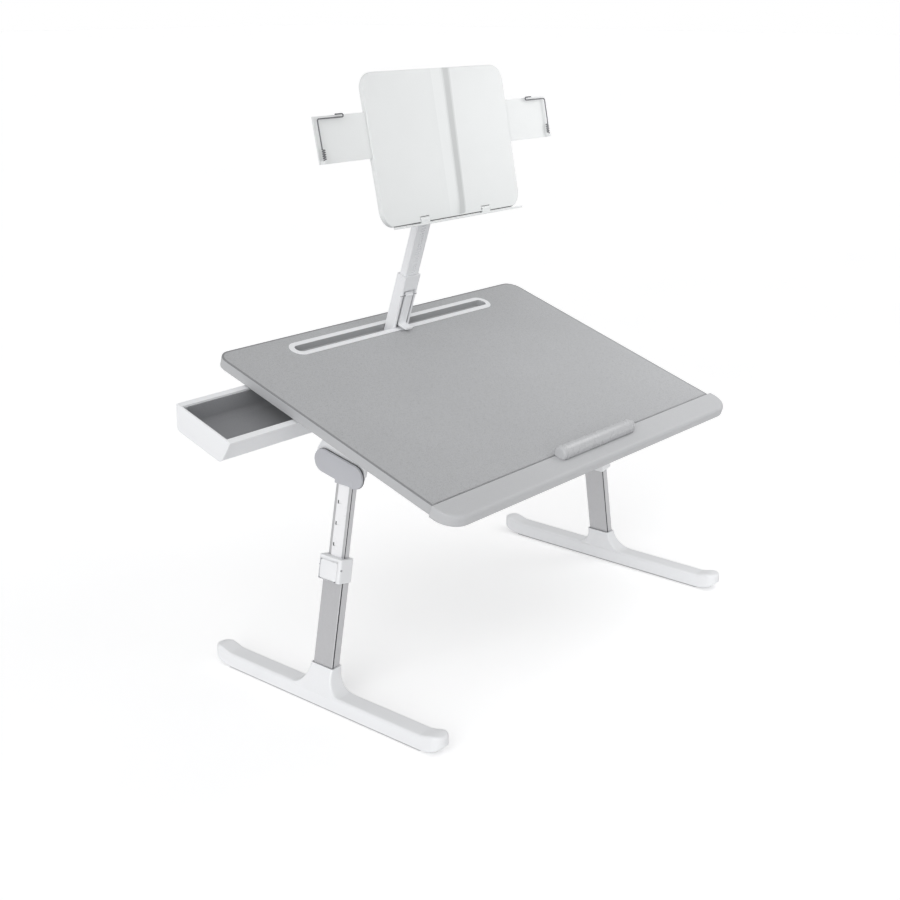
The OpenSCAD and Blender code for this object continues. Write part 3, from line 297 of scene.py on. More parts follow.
def board_core(name, tone):
    """Light laminate on the underside, with a fine pressed texture."""
    p = Paint(name)
    cells = p.voronoi(420, "SMOOTH_F1", p.warp(90, 0.002), 0.6)
    slow = p.ramp(p.noise(6, 4).outputs[0], 0.3, 0.7)
    p.wire("Base Color", p.mix(slow, colour(*tone, times=0.96), colour(*tone, times=1.02)))
    p.wire("Roughness", p.ramp(cells, 0, 0.8, 0.5, 0.62))
    p.wire("Normal", p.bump(cells, 0.18, 0.0002))
    return p.mat


white = plastic("white_plastic", (237, 238, 240), 0.4, 0.012)
white_board = plastic("white_board", (227, 229, 229), 0.34, 0.01, grain=0.03)
# Copies of the board's white, lighter and darker: painted highlight and painted shade for the ridge's slopes
ridge_painted_highlight = plastic("ridge_painted_highlight", (231, 233, 233), 0.4, 0.01, grain=0.03)
ridge_painted_half_shade = plastic("ridge_painted_half_shade", (216, 218, 218), 0.34, 0.01, grain=0.03)
ridge_painted_shade = plastic("ridge_painted_shade", (203, 205, 205), 0.34, 0.01, grain=0.03)
lip_mat = plastic("lip_plastic", (192, 193, 195), 0.46, 0.015, grain=0.16, grain_size=1300, speck=0.22)
stopper_mat = plastic("stopper_plastic", (190, 191, 193), 0.26, 0.015, grain=0.12, grain_size=1300, speck=0.12)
band_mat = plastic("grey_plastic", (184, 185, 187), 0.44, 0.015, grain=0.1, speck=0.1)
hinge_mat = plastic("hinge_grey", (185, 186, 191), 0.42, 0.015, grain=0.07)
liner_mat = plastic("liner_grey", (152, 153, 156), 0.75, 0.05, grain=0.35, grain_size=1900, speck=0.3, spec=0.25)
slot_mat = plastic("slot_grey", (176, 177, 179), 0.5, 0.02)
strip_mat = plastic("strip_white", (238, 238, 240), 0.3, 0.01, grain=0.02)
# Dark painted shade for the gap behind the head's cover plate
gap_painted_shade_mat = plastic("gap_painted_shade", (66, 67, 70), 0.6, 0.03)
# Dark painted shade for grooves, recesses and gaps
groove_painted_shade_mat = plastic("groove_painted_shade", (78, 79, 82), 0.6, 0.03)
leather_mat = leather("leather_grey", (186, 187, 189))
# A darker leather for the sheet's rim: partly the edge's own darker colour, partly painted shade of the gap at the band
leather_rim_and_shade = leather("leather_rim_and_shade", (146, 147, 149), 900)
core_mat = board_core("core_laminate", (206, 206, 205))
rubber_mat = rubber("grey_rubber", (196, 197, 198))
steel_mat = steel("steel")
wire_mat = steel("clip_wire", (122, 122, 126), 0.42)
tube_mat = {s: metal("tube_metal_" + SIDE[s], (194, 194, 196), s) for s in (-1, 1)}


# ---------------------------------------------------------------- mesh helpers
EDGE_ANGLE, SHARP_ANGLE, FLAT_ANGLE = 32, 40, 0.8  # degrees: edges that are rounded, shaded sharp, dissolved
WELD = 4e-6  # metres


def new_object(name, mesh):
    ob = bpy.data.objects.new(name, mesh)
    scene.collection.objects.link(ob)
    return ob


def applied(ob):
    """Turns ob's modifiers into its mesh."""
    bpy.context.view_layer.update()
    deps = bpy.context.evaluated_depsgraph_get()
    mesh = bpy.data.meshes.new_from_object(ob.evaluated_get(deps), preserve_all_data_layers=True, depsgraph=deps)
    ob.modifiers.clear()
    ob.data = mesh
    return ob


def even_normals(ob, weight=60):
    """Shades large faces flat, so that only the rounded edges turn the light."""
    mod = ob.modifiers.new("normals", "WEIGHTED_NORMAL")
    mod.keep_sharp = True
    mod.weight = weight
    return applied(ob)


def rounded_edges(ob, width, segments):
    """Rounds ob's edges by width millimetres and shades it smooth between its real corners."""
    for poly in ob.data.polygons:
        poly.use_smooth = True
    bevel = ob.modifiers.new("rounding", "BEVEL")
    bevel.width = width * 0.001
    bevel.segments = segments
    bevel.limit_method = "ANGLE"
    bevel.angle_limit = math.radians(EDGE_ANGLE)
    bevel.use_clamp_overlap = True
    bevel.harden_normals = False
    bevel.miter_outer = "MITER_ARC"
    applied(ob)
    ob.data.set_sharp_from_angle(angle=math.radians(SHARP_ANGLE))
    return even_normals(ob, 80)


def dress(ob, node, material):
    """Gives ob its materials, slot and body, and lets it stand for a CAD node. Faces keep their material index."""
    which = [poly.material_index for poly in ob.data.polygons]
    ob.data.materials.clear()
    for m in material if isinstance(material, (list, tuple)) else [material]:
        ob.data.materials.append(m)
    ob.data.polygons.foreach_set("material_index", which)
    body = nodes[node]["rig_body"]
    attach(ob, body)
    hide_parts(node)
    return ob


def soften(node, width, material, segments=3):
    """A copy of a CAD node's form with its edges rounded, in place of it."""
    mesh = nodes[node].data.copy()
    bm = bmesh.new()
    bm.from_mesh(mesh)
    bmesh.ops.remove_doubles(bm, verts=bm.verts, dist=WELD)
    bmesh.ops.dissolve_degenerate(bm, edges=bm.edges, dist=WELD)
    bmesh.ops.dissolve_limit(bm, angle_limit=math.radians(FLAT_ANGLE), verts=bm.verts, edges=bm.edges)
    bm.to_mesh(mesh)
    bm.free()
    ob = rounded_edges(new_object(node + "_look", mesh), width, segments)
    return dress(ob, node, material)


def repaint(node, material):
    """A CAD node that stays as it is, with a better material."""
    ob = nodes[node]
    ob.data.materials.clear()
    ob.data.materials.append(material)


def join(ob, extra):
    """Puts extra's mesh into ob's, and removes extra."""
    both = bmesh.new()
    both.from_mesh(ob.data)
    both.from_mesh(extra.data)
    both.to_mesh(ob.data)
    both.free()
    bpy.data.objects.remove(extra)
    return ob



# ---------------------------------------------------------------- form helpers
def arc(cx, cy, r, a0, a1, n):
    """Points and outward normals along an arc, angles in degrees."""
    out = []
    for k in range(n + 1):
        a = math.radians(a0 + (a1 - a0) * k / n)
        out.append(((cx + r * math.cos(a), cy + r * math.sin(a)), (math.cos(a), math.sin(a))))
    return out


def round_box(x0, x1, y0, y1, radii, n=10):
    """A closed outline with its own radius at each corner: right front, right back, left back, left front."""
    rf, rb, lb, lf = radii
    return (arc(x1 - rf, y0 + rf, rf, -90, 0, n) + arc(x1 - rb, y1 - rb, rb, 0, 90, n)
            + arc(x0 + lb, y1 - lb, lb, 90, 180, n) + arc(x0 + lf, y0 + lf, lf, 180, 270, n))


def ring(bm, path, inset, z):
    """The outline moved inwards by inset, a number or one for each point, at height z, likewise."""
    pick = lambda v, k: v[k] if isinstance(v, list) else v
    return [bm.verts.new((q[0] - d[0] * pick(inset, k), q[1] - d[1] * pick(inset, k), pick(z, k)))
            for k, (q, d) in enumerate(path)]


def quarter(n):
    """The angles of a quarter turn in n steps."""
    return [math.radians(90 * k / n) for k in range(n + 1)]


def skin(bm, rings, closed=True, index=0):
    """Quads between each ring of vertices and the next."""
    for a, b in zip(rings, rings[1:]):
        m = len(a)
        for k in range(m if closed else m - 1):
            bm.faces.new((a[k], a[(k + 1) % m], b[(k + 1) % m], b[k])).material_index = index


def capped(bm, rings, index=0):
    """A skin over the rings that is closed at both ends."""
    skin(bm, rings, index=index)
    for end in (rings[0], rings[-1]):
        bm.faces.new(end).material_index = index


def loop_edges(bm, verts):
    """The edges of a closed loop of vertices, made where they are missing."""
    m = len(verts)
    pairs = [(verts[k], verts[(k + 1) % m]) for k in range(m)]
    return [bm.edges.get(pair) or bm.edges.new(pair) for pair in pairs]


def made(name, bm, where, sharp=SHARP_ANGLE):
    """A mesh drawn in millimetres in the frame where, as an object that shades smooth but for its corners."""
    bmesh.ops.recalc_face_normals(bm, faces=bm.faces)
    mesh = bpy.data.meshes.new(name)
    bm.to_mesh(mesh)
    bm.free()
    mesh.transform(where)
    if where.determinant() < 0:
        mesh.flip_normals()
    for poly in mesh.polygons:
        poly.use_smooth = True
    mesh.set_sharp_from_angle(angle=math.radians(sharp))
    return new_object(name, mesh)


def cut_away(ob, cutters):
    """Cuts the cutters, objects in place, out of ob."""
    for c in cutters:
        mod = ob.modifiers.new("cut", "BOOLEAN")
        mod.operation = "DIFFERENCE"
        mod.solver = "EXACT"
        mod.object = c
    applied(ob)
    for c in cutters:
        bpy.data.objects.remove(c)
    return ob


def tool(where, x0, x1, y0, y1, z0, z1):
    """A box in the frame where, to cut with."""
    bm = bmesh.new()
    bmesh.ops.create_cube(bm, size=1)
    for v in bm.verts:
        v.co = [(a + b) / 2 + c * (b - a) for c, a, b in zip(v.co, (x0, y0, z0), (x1, y1, z1))]
    return made("tool", bm, where)


def tool_rod(where, x, y, z0, z1, r):
    """A rod along z in the frame where, to cut with."""
    bm = bmesh.new()
    bmesh.ops.create_cone(bm, cap_ends=True, segments=32, radius1=r, radius2=r, depth=z1 - z0)
    bmesh.ops.translate(bm, verts=bm.verts, vec=(x, y, (z0 + z1) / 2))
    return made("tool", bm, where)


def zones(ob, where, test):
    """Gives each face the material index that test says for its middle and normal in the frame where."""
    back = where.inverted()
    turn = back.to_3x3()
    for poly in ob.data.polygons:
        poly.material_index = test(back @ poly.center, (turn @ poly.normal).normalized(), poly.material_index)


# ---------------------------------------------------------------- the top
def leather_field():
    """The leather sheet: a pressed rim all round, dark partly in its own colour and partly as painted shade of the gap
    beside the band, and the hole that the tray's rim covers.
    """
    path = round_box(-314.9, 314.9, 0.05, 395.9, (1.6, 20.9, 20.9, 1.6), 14)
    bm = bmesh.new()
    profile = ((0.0, -1.0), (0.0, -0.62), (0.1, -0.3), (0.34, -0.1), (0.75, -0.02), (2.9, -0.06))
    sides = [ring(bm, path, d, z) for d, z in profile]
    skin(bm, sides, index=1)
    inner = ring(bm, path, 3.4, 0.0)
    skin(bm, [sides[-1], inner], index=0)
    hole = [(q, d) for q, d in arc(192, 360, 12.5, -90, 90, 14) + arc(-192, 360, 12.5, 90, 270, 14)]
    top_hole, low_hole = ring(bm, hole, 0, 0.0), ring(bm, hole, 0, -1.0)
    skin(bm, [low_hole, top_hole])
    for a, b in ((inner, top_hole), (sides[0], low_hole)):
        bmesh.ops.triangle_fill(bm, use_beauty=True, edges=loop_edges(bm, a) + loop_edges(bm, b))
    ob = made("leather_top_look", bm, TABLE, 50)
    for poly in ob.data.polygons:
        if poly.normal.dot(TABLE.to_3x3().col[2].normalized()) > 0.9999:
            poly.use_smooth = False
    return dress(ob, "leather_top", [leather_mat, leather_rim_and_shade])


def edge_band():
    """The moulded band along both sides and the back, under the rim of the leather."""
    start = [((315, 0.0), (1, 0)), ((315, 60), (1, 0)), ((315, 200), (1, 0))]
    path = start + arc(294, 375, 21, 0, 90, 14) + arc(-294, 375, 21, 90, 180, 14)
    path += [((-315, 200), (-1, 0)), ((-315, 60), (-1, 0)), ((-315, 0.0), (-1, 0))]
    low, high, top, n = 0.8, 0.7, -1.04, 4
    turn = quarter(n)
    section = [(2.98, -14.0)]
    section += [(low - low * math.sin(a), -14 + low - low * math.cos(a)) for a in turn]
    section += [(high - high * math.cos(a), top - high + high * math.sin(a)) for a in turn]
    section += [(2.98, top)]
    bm = bmesh.new()
    rings = [ring(bm, path, d, z) for d, z in section]
    skin(bm, rings + [rings[0]], closed=False)
    for end in (0, -1):
        bm.faces.new([rg[end] for rg in rings])
    return dress(made("edge_band_look", bm, TABLE, 50), "edge_band", band_mat)


def front_lip():
    """The front lip: a bull nose along the front that sharpens towards its ends, with two peg holes."""
    path = round_box(-319.4, 319.4, -38.45, -0.5, (30, 1.2, 1.2, 30), 20)
    low, high, n = -14.0, 2.4, 7
    curve = []
    for _, (_, facing) in path:
        curve.append(1.5 - 0.3 * facing if facing > 0 else 1.5 + 3.5 * max(0.0, -facing) ** 1.3)
    bm = bmesh.new()
    near = [([r * (1 - math.sin(a)) for r in curve], [low + r * (1 - math.cos(a)) for r in curve]) for a in quarter(n)]
    far = [([r * (1 - math.cos(a)) for r in curve], [high - r * (1 - math.sin(a)) for r in curve]) for a in quarter(n)]
    rings = [ring(bm, path, inset, z) for inset, z in near + far]
    capped(bm, rings)
    ob = made("front_lip_look", bm, TABLE, 30)
    cut_away(ob, [tool_rod(TABLE, STOPPER_X + u, -9, -6.6, 5, PEG_R + 0.05) for u in (-PEG_X, PEG_X)])
    return dress(even_normals(ob), "front_lip", lip_mat)


def stopper_bar():
    """The stopper: a half-round bar with a capped end on each side, on two pegs."""
    half, r, h, n = 83.0, 10.0, 15.5, 24
    where = TABLE @ Matrix.Translation((STOPPER_X, -6, 2.7))
    # Each station is a distance from the end and how far the loaf's outline has drawn in there
    steps = [(0.0, 4.4), (0.2, 3.2), (0.7, 2.1), (1.6, 1.1), (2.8, 0.55), (4.2, 0.3), (5.4, 0.3),
             (5.6, 0.8), (5.8, 0.9), (6.4, 0.9), (6.6, 0.8), (6.8, 0.3), (7.2, 0.08), (8.0, 0.0)]
    stations = [(-half + u, d) for u, d in steps] + [(half - u, d) for u, d in reversed(steps)]
    bm = bmesh.new()
    rings = []
    for u, d in stations:
        rr = r - d
        top = [(rr * math.cos(math.pi * k / n), h - r + rr * math.sin(math.pi * k / n)) for k in range(n + 1)]
        foot = [(-rr, 2.2), (-rr + 0.4, 0.9), (-rr + 1.6, 0.0), (rr - 1.6, 0.0), (rr - 0.4, 0.9), (rr, 2.2)]
        rings.append([bm.verts.new((u, y, z)) for y, z in top + foot])
    capped(bm, rings)
    ob = made("stopper_bar_look", bm, where, 40)
    pegs = bmesh.new()
    for u in (-PEG_X, PEG_X):
        part = bmesh.ops.create_cone(pegs, cap_ends=True, segments=32, radius1=PEG_R, radius2=PEG_R, depth=9.5)["verts"]
        bmesh.ops.translate(pegs, verts=part, vec=(u, -3, -4.25))
    return dress(join(ob, made("pegs", pegs, where)), "stopper_bar", stopper_mat)


leather_field()
edge_band()
front_lip()
repaint("top_board", core_mat)
tray = soften("slot_tray", 0.6, [white, slot_mat])
zones(tray, TABLE, lambda c, n, m: 1 if c.z < 0.1 and abs(c.y - SLOT_V) < 9.6 else 0)
stopper_bar()

# ---------------------------------------------------------------- drawer
DRAWER = TABLE @ Matrix.Translation((0, 285, -16))


def trough(bm, u0, u1, outer, inner):
    """A trough along u: an open outline outside, one inside, and flat rims and ends."""
    loop = outer + inner[::-1]
    a = [bm.verts.new((u0, y, z)) for y, z in loop]
    b = [bm.verts.new((u1, y, z)) for y, z in loop]
    capped(bm, [a, b])


def plate(bm, u0, u1, outline, edge):
    """A plate across u with rounded edges on its outer face u0."""
    rings = []
    for a in quarter(4):
        d, u = edge * (1 - math.sin(a)), u0 + edge * (1 - math.cos(a))
        rings.append([bm.verts.new((u, q[0] - n[0] * d, q[1] - n[1] * d)) for q, n in outline])
    rings.append([bm.verts.new((u1, q[0], q[1])) for q, n in outline])
    capped(bm, rings)


def front_outline(top, low, h, r, rt, n=8):
    """The drawer front's outline: a trapezoid with well rounded lower corners."""
    lean = math.degrees(math.atan2(top - low, h))
    out = arc(low - r * math.tan(math.radians(45 - lean / 2)), -h + r, r, -90, -lean, n)
    right = out + arc(top - rt, -rt, rt, -lean, 90, 4)
    left = [((-q[0], q[1]), (-d[0], d[1])) for q, d in reversed(right)]
    return right + left


def drawer():
    """The drawer: a trough with flanges, a back wall and an overhanging front with rounded lower corners."""
    bm = bmesh.new()

    def side(t, low, high, r):
        """The trough's section, t inside its outer face."""
        pts = [(-high, 0.0)]
        pts += [(q[0], q[1]) for q, _ in arc(-low + r, -34 + t + r, r, 187, 270, 5)]
        pts += [(q[0], q[1]) for q, _ in arc(low - r, -34 + t + r, r, 270, 353, 5)]
        return pts + [(high, 0.0)]

    flange = [(51.1, 0.0), (51.4, -0.3), (51.4, -1.7), (51.1, -2.0), (44.6, -2.0)]
    outer = [(-y, z) for y, z in flange] + side(0.0, 40.6, 44.8, 3.0)[1:-1] + flange[::-1]
    inner = [(-42.6, 0.0)] + side(2.2, 38.7, 43.3, 7.0)[1:-1] + [(42.6, 0.0)]
    trough(bm, -422.4, -227.2, outer, inner)
    plate(bm, -424.95, -422.3, front_outline(51.45, 42.2, 33.95, 7.5, 1.2), 0.8)
    back = front_outline(44.6, 40.6, 33.95, 3.0, 0.6)
    rings = [[bm.verts.new((u, q[0], q[1])) for q, _ in back] for u in (-227.3, -225.05)]
    capped(bm, rings)
    ob = made("drawer_look", bm, DRAWER, 35)
    return dress(ob, "drawer", white)


def liner():
    """The drawer's lining: a thin tray whose floor curves up into its walls."""
    bm = bmesh.new()
    path = round_box(-422.1, -227.6, -38.5, 38.5, (9.5, 9.5, 9.5, 9.5), 8)

    def at(z, t):
        """The lining's outline at height z, t inside its outer face."""
        grow = (z + 31.7) * 4 / 34
        return [bm.verts.new((q[0] - d[0] * t, q[1] - d[1] * (t - grow), z)) for q, d in path]

    rings = [at(-2.2, 0.0), at(-31.7, 0.0)]
    skin(bm, rings)
    bm.faces.new(rings[-1])
    r = 7.5
    inner = [at(-2.2, 1.2)]
    for a in quarter(7):
        inner.append(at(-30.5 + r - r * math.sin(a), 1.2 + r - r * math.cos(a)))
    skin(bm, inner)
    bm.faces.new(inner[-1])
    skin(bm, [rings[0], inner[0]])
    ob = made("drawer_liner_look", bm, DRAWER, 50)
    return dress(ob, "drawer_liner", liner_mat)


drawer()
liner()
for n in ("drawer_rail_front", "drawer_rail_back"):
    soften(n, 0.3, white, 2)


# ---------------------------------------------------------------- legs
# In the leg frame x faces the latch, y runs along the foot and z up the leg
LATCH_X, LATCH_W, SLEEVE_Y = 12.8, 184.159, 19.5
TUBE_LOW, TUBE_TOP = 132.159, 302.259
DETENT_TOP, DETENT_STEP, DETENTS = 312.759 - 16.6, 28, 5
TILE = (-13.2, 16.6, -17.0, 8.4)  # the latch's face: y from, y to, and z from and to beside its pin


def grooved(half_x, half_y, r, near, far, deep, recess=None):
    """A tube's outline: a groove in each narrow face from near to far of its middle, and a recess in one wide face."""
    quarter = [(q[0], q[1]) for q, _ in arc(half_x - r, half_y - r, r, 90, 0, 6)]
    lip = half_y - r + math.sqrt(max(0.0, r * r - max(0.0, far - half_x + r) ** 2))
    right = [(near, half_y), (near, half_y - deep), (far, half_y - deep), (far, lip)]
    right += [q for q in quarter if q[0] > far + 0.05]
    if recess:
        right += [(half_x, recess[1]), (recess[0], recess[1])]
    lower = [(x, -y) for x, y in reversed(right)]
    left = [(q[0], q[1]) for q, _ in arc(-half_x + r, -half_y + r, r, 270, 180, 6)]
    left += [(q[0], q[1]) for q, _ in arc(-half_x + r, half_y - r, r, 180, 90, 6)]
    return right + lower + left


def extruded(name, s, outer, inner, z0, z1):
    """A tube in the leg frame: the outlines outer and inner, carried from z0 to z1."""
    bm = bmesh.new()
    rings = [[bm.verts.new((x, y, z)) for x, y in outer] for z in (z0, z1)]
    skin(bm, rings)
    holes = [[bm.verts.new((x, y, z)) for x, y in inner] for z in (z0, z1)]
    skin(bm, holes)
    for a, b in zip(rings, holes):
        bmesh.ops.triangle_fill(bm, use_beauty=True, edges=loop_edges(bm, a) + loop_edges(bm, b))
    return made(name, bm, LEG[s], 35)


def paint_groove_shade(ob, s, sign, near, far, half_y):
    """Paints shade into the grooves."""
    def groove(c, n, m):
        inside = near - 0.05 < sign * c.x < far + 0.05 and half_y - 2.0 < abs(c.y) < half_y - 0.02
        along_x, along_y = abs(n.x) > 0.9, abs(n.y) > 0.9
        beside = abs(c.x) >= far + 0.02 or along_x and abs(c.x) > far + 0.01
        return 1 if inside and (along_x or along_y) and not beside else 0

    zones(ob, LEG[s], groove)


def pawl_window(s):
    """The opening that the latch's pawl passes through, to cut with."""
    return tool(LEG[s], 0, LATCH_X, 6.3, 10.1, LATCH_W - 4.5, LATCH_W + 4.5)


def tubes(s):
    """The inner and outer tubes of one leg, each with a groove close to one edge of its narrow faces, painted dark as
    shade.
    """
    sign = -s
    for node, half_x, half_y, r, near, far, deep, recess, bore, br, z0, z1 in (
            ("inner_tube_", 5.0, 14.0, 1.0, 2.9, 4.4, 0.8, (4.1, 9.6), (3.6, 12.6), 0.5, TUBE_LOW, TUBE_TOP),
            ("outer_tube_", 7.0, 17.5, 2.0, 4.7, 6.4, 1.0, None, (5.4, 15.9), 1.0, 28.0, 194.159)):
        outer = grooved(half_x, half_y, r, near, far, deep, recess if sign > 0 else None)
        if sign < 0:
            outer = [(-x, y) for x, y in outer]
            if recess:
                k = next(i for i, q in enumerate(outer) if abs(q[0] - half_x) < 1e-6 and abs(q[1] + half_y - r) < 1e-6)
                cut = [(half_x, -recess[1]), (recess[0], -recess[1]), (recess[0], recess[1]), (half_x, recess[1])]
                outer = outer[:k + 1] + cut + outer[k + 1:]
        hole = [(q[0], q[1]) for q, _ in round_box(-bore[0], bore[0], -bore[1], bore[1], (br, br, br, br), 3)]
        ob = extruded(node + SIDE[s] + "_look", s, outer, hole, z0, z1)
        if not recess:
            cut_away(ob, [pawl_window(s)])
        even_normals(ob)
        dress(ob, node + SIDE[s], [tube_mat[s], groove_painted_shade_mat])
        paint_groove_shade(ob, s, sign, near, far, half_y)
        if recess:  # its floor shows through the strip's slots and is painted dark as shade
            zones(ob, LEG[s], lambda c, n, m: 1 if n.x > 0.9 and abs(c.x - recess[0]) < 0.05 and abs(c.y) < 9.5 else m)


def strip(s):
    """The detent strip, with a hooked slot at each height."""
    cutters = []
    for k in range(DETENTS):
        w = DETENT_TOP - DETENT_STEP * k
        cutters.append(tool(LEG[s], 4.0, 5.4, 5.7, 7.9, w - 1.7, w + 3.0))
        cutters.append(tool(LEG[s], 4.4, 5.4, -0.6, 5.8, w - 1.7, w - 0.6))
    bm = bmesh.new()
    path = round_box(4.2, 5.0, -9.5, 9.5, (0.15, 0.15, 0.15, 0.15), 2)
    rings = [ring(bm, path, 0, z) for z in (TUBE_LOW, TUBE_TOP)]
    capped(bm, rings)
    ob = made("detent_strip_%s_look" % SIDE[s], bm, LEG[s], 35)
    cut_away(ob, cutters)
    return dress(even_normals(ob), "detent_strip_" + SIDE[s], strip_mat)


def sleeve(s):
    """The lock sleeve: a soft-edged box round the tubes, with the latch's well, pin bore and window."""
    path = round_box(-9, 15.6, -SLEEVE_Y, SLEEVE_Y, (3, 3, 3, 3), 8)
    z0, z1 = LATCH_W - 18, LATCH_W + 14
    bm = bmesh.new()
    edge = ((1.0, 0.0), (0.45, 0.12), (0.12, 0.45), (0.0, 1.0))
    rings = [ring(bm, path, d, z0 + z) for d, z in edge] + [ring(bm, path, d, z1 - z) for d, z in reversed(edge)]
    capped(bm, rings)
    ob = made("lock_sleeve_%s_look" % SIDE[s], bm, LEG[s], 35)
    gap = 0.4
    well = tool(LEG[s], 8.9, 20, TILE[0] - gap, TILE[1] + gap, LATCH_W + TILE[2] - gap, LATCH_W + TILE[3] + gap)
    bores = [tool(LEG[s], -7.1, 7.1, -17.6, 17.6, z0 - 1, LATCH_W + 10.1),
             tool(LEG[s], -5.3, 5.3, -14.3, 14.3, z0, z1 + 1)]
    pin = tool_rod(Matrix.Identity(4), 0, 0, -SLEEVE_Y - 1, SLEEVE_Y + 1, 1.62)
    pin.data.transform(LEG[s] @ Matrix.Translation((LATCH_X, 0, LATCH_W)) @ rot(math.pi / 2, "X"))
    cut_away(ob, bores + [well, pawl_window(s), pin])
    return dress(even_normals(ob), "lock_sleeve_" + SIDE[s], white)


def latch(s):
    """The flip latch: a soft-cornered tile, the boss on its pin and the pawl that faces the detents."""
    bm = bmesh.new()
    path = round_box(*TILE, (3.2, 3.2, 3.2, 3.2), 8)
    x0, x1 = 12.6, 15.2
    rings = []
    for d, x in ((0.5, x0), (0.1, x0 + 0.15), (0.0, x0 + 0.5),
                 (0.0, x1 - 0.8), (0.1, x1 - 0.42), (0.36, x1 - 0.14), (0.8, x1)):
        rings.append([bm.verts.new((x, q[0] - n[0] * d, LATCH_W + q[1] - n[1] * d)) for q, n in path])
    capped(bm, rings)
    for y0, y1, x, r, seg in ((-13.5, 13.5, LATCH_X, 2.39, 28), (6.6, 9.8, 6.8, 1.6, 20)):
        turn = [2 * math.pi * k / seg for k in range(seg)]
        c0 = [bm.verts.new((x + r * math.cos(a), y0, LATCH_W + r * math.sin(a))) for a in turn]
        c1 = [bm.verts.new((v.co.x, y1, v.co.z)) for v in c0]
        capped(bm, [c0, c1])
    box = bmesh.ops.create_cube(bm, size=1)["verts"]
    for v in box:
        v.co = (9.8 + v.co.x * 6.0, 8.2 + v.co.y * 3.2, LATCH_W + v.co.z * 3.2)
    ob = made("flip_latch_%s_look" % SIDE[s], bm, LEG[s], 35)
    return dress(ob, "flip_latch_" + SIDE[s], white)


def head_cover(s):
    """The head's cover: an oval plate with a soft edge, a dark ring behind it that is painted shade of the gap, and the
    collar round the tube.
    """
    pitch = math.radians(12)
    c, k = math.cos(pitch), math.sin(pitch)

    def turned(q, shift):
        return q[0] * c - q[1] * k - shift, q[0] * k + q[1] * c

    def oval(grow):
        """The plate's outline, pitched forwards and wider by grow."""
        r, half = 16.0 + grow, 27.0
        out = arc(half, 0, r, -90, 90, 18) + arc(-half, 0, r, 90, 270, 18)
        return [(turned(q, 3.0), turned(d, 0.0)) for q, d in out]

    bm = bmesh.new()
    edge, base = 1.1, oval(0)
    rings = [[bm.verts.new((273.45, q[0], q[1])) for q, _ in base]]
    for a in quarter(5):
        d, x = edge * (1 - math.cos(a)), 276.5 - edge * (1 - math.sin(a))
        rings.append([bm.verts.new((x, q[0] - n[0] * d, q[1] - n[1] * d)) for q, n in base])
    capped(bm, rings)
    # A dark ring just outside the plate: painted shade of the gap between plate and head
    outline = oval(0.25)
    rings = [[bm.verts.new((x, q[0], q[1])) for q, _ in outline] for x in (272.0, 273.4)]
    capped(bm, rings, 1)
    ob = made("head_cover_%s_look" % SIDE[s], bm, TILT[s], 35)
    rim = bmesh.new()
    path = round_box(-7.4, 7.4, -16.4, 16.4, (2.4, 2.4, 2.4, 2.4), 6)
    inner = round_box(-5.1, 5.1, -14.1, 14.1, (1, 1, 1, 1), 6)
    z0, z1 = 292.359, 300.7
    outside = ((0.5, z0), (0.12, z0 + 0.14), (0, z0 + 0.5), (0, z1))
    loops = [ring(rim, inner, 0, z1), ring(rim, inner, 0, z0)] + [ring(rim, path, inset, z) for inset, z in outside]
    skin(rim, loops + [loops[0]])
    join(ob, made("collar", rim, LEG[s], 35))
    return dress(ob, "head_cover_" + SIDE[s], [hinge_mat, gap_painted_shade_mat])


FOOT_SHIFT, FOOT_HALF, FOOT_W, SOLE, FOOT_H, TIP_H = 7.0, 207.0, 14.25, 1.6, 21.5, 26.6
TIP_L, TIP_R, NECK_Z, NECK_HALF, FLARE = 30.0, 46.4, 51.34, 20.0, 27.0


def smooth_step(v):
    v = min(1.0, max(0.0, v))
    return v * v * (3 - 2 * v)


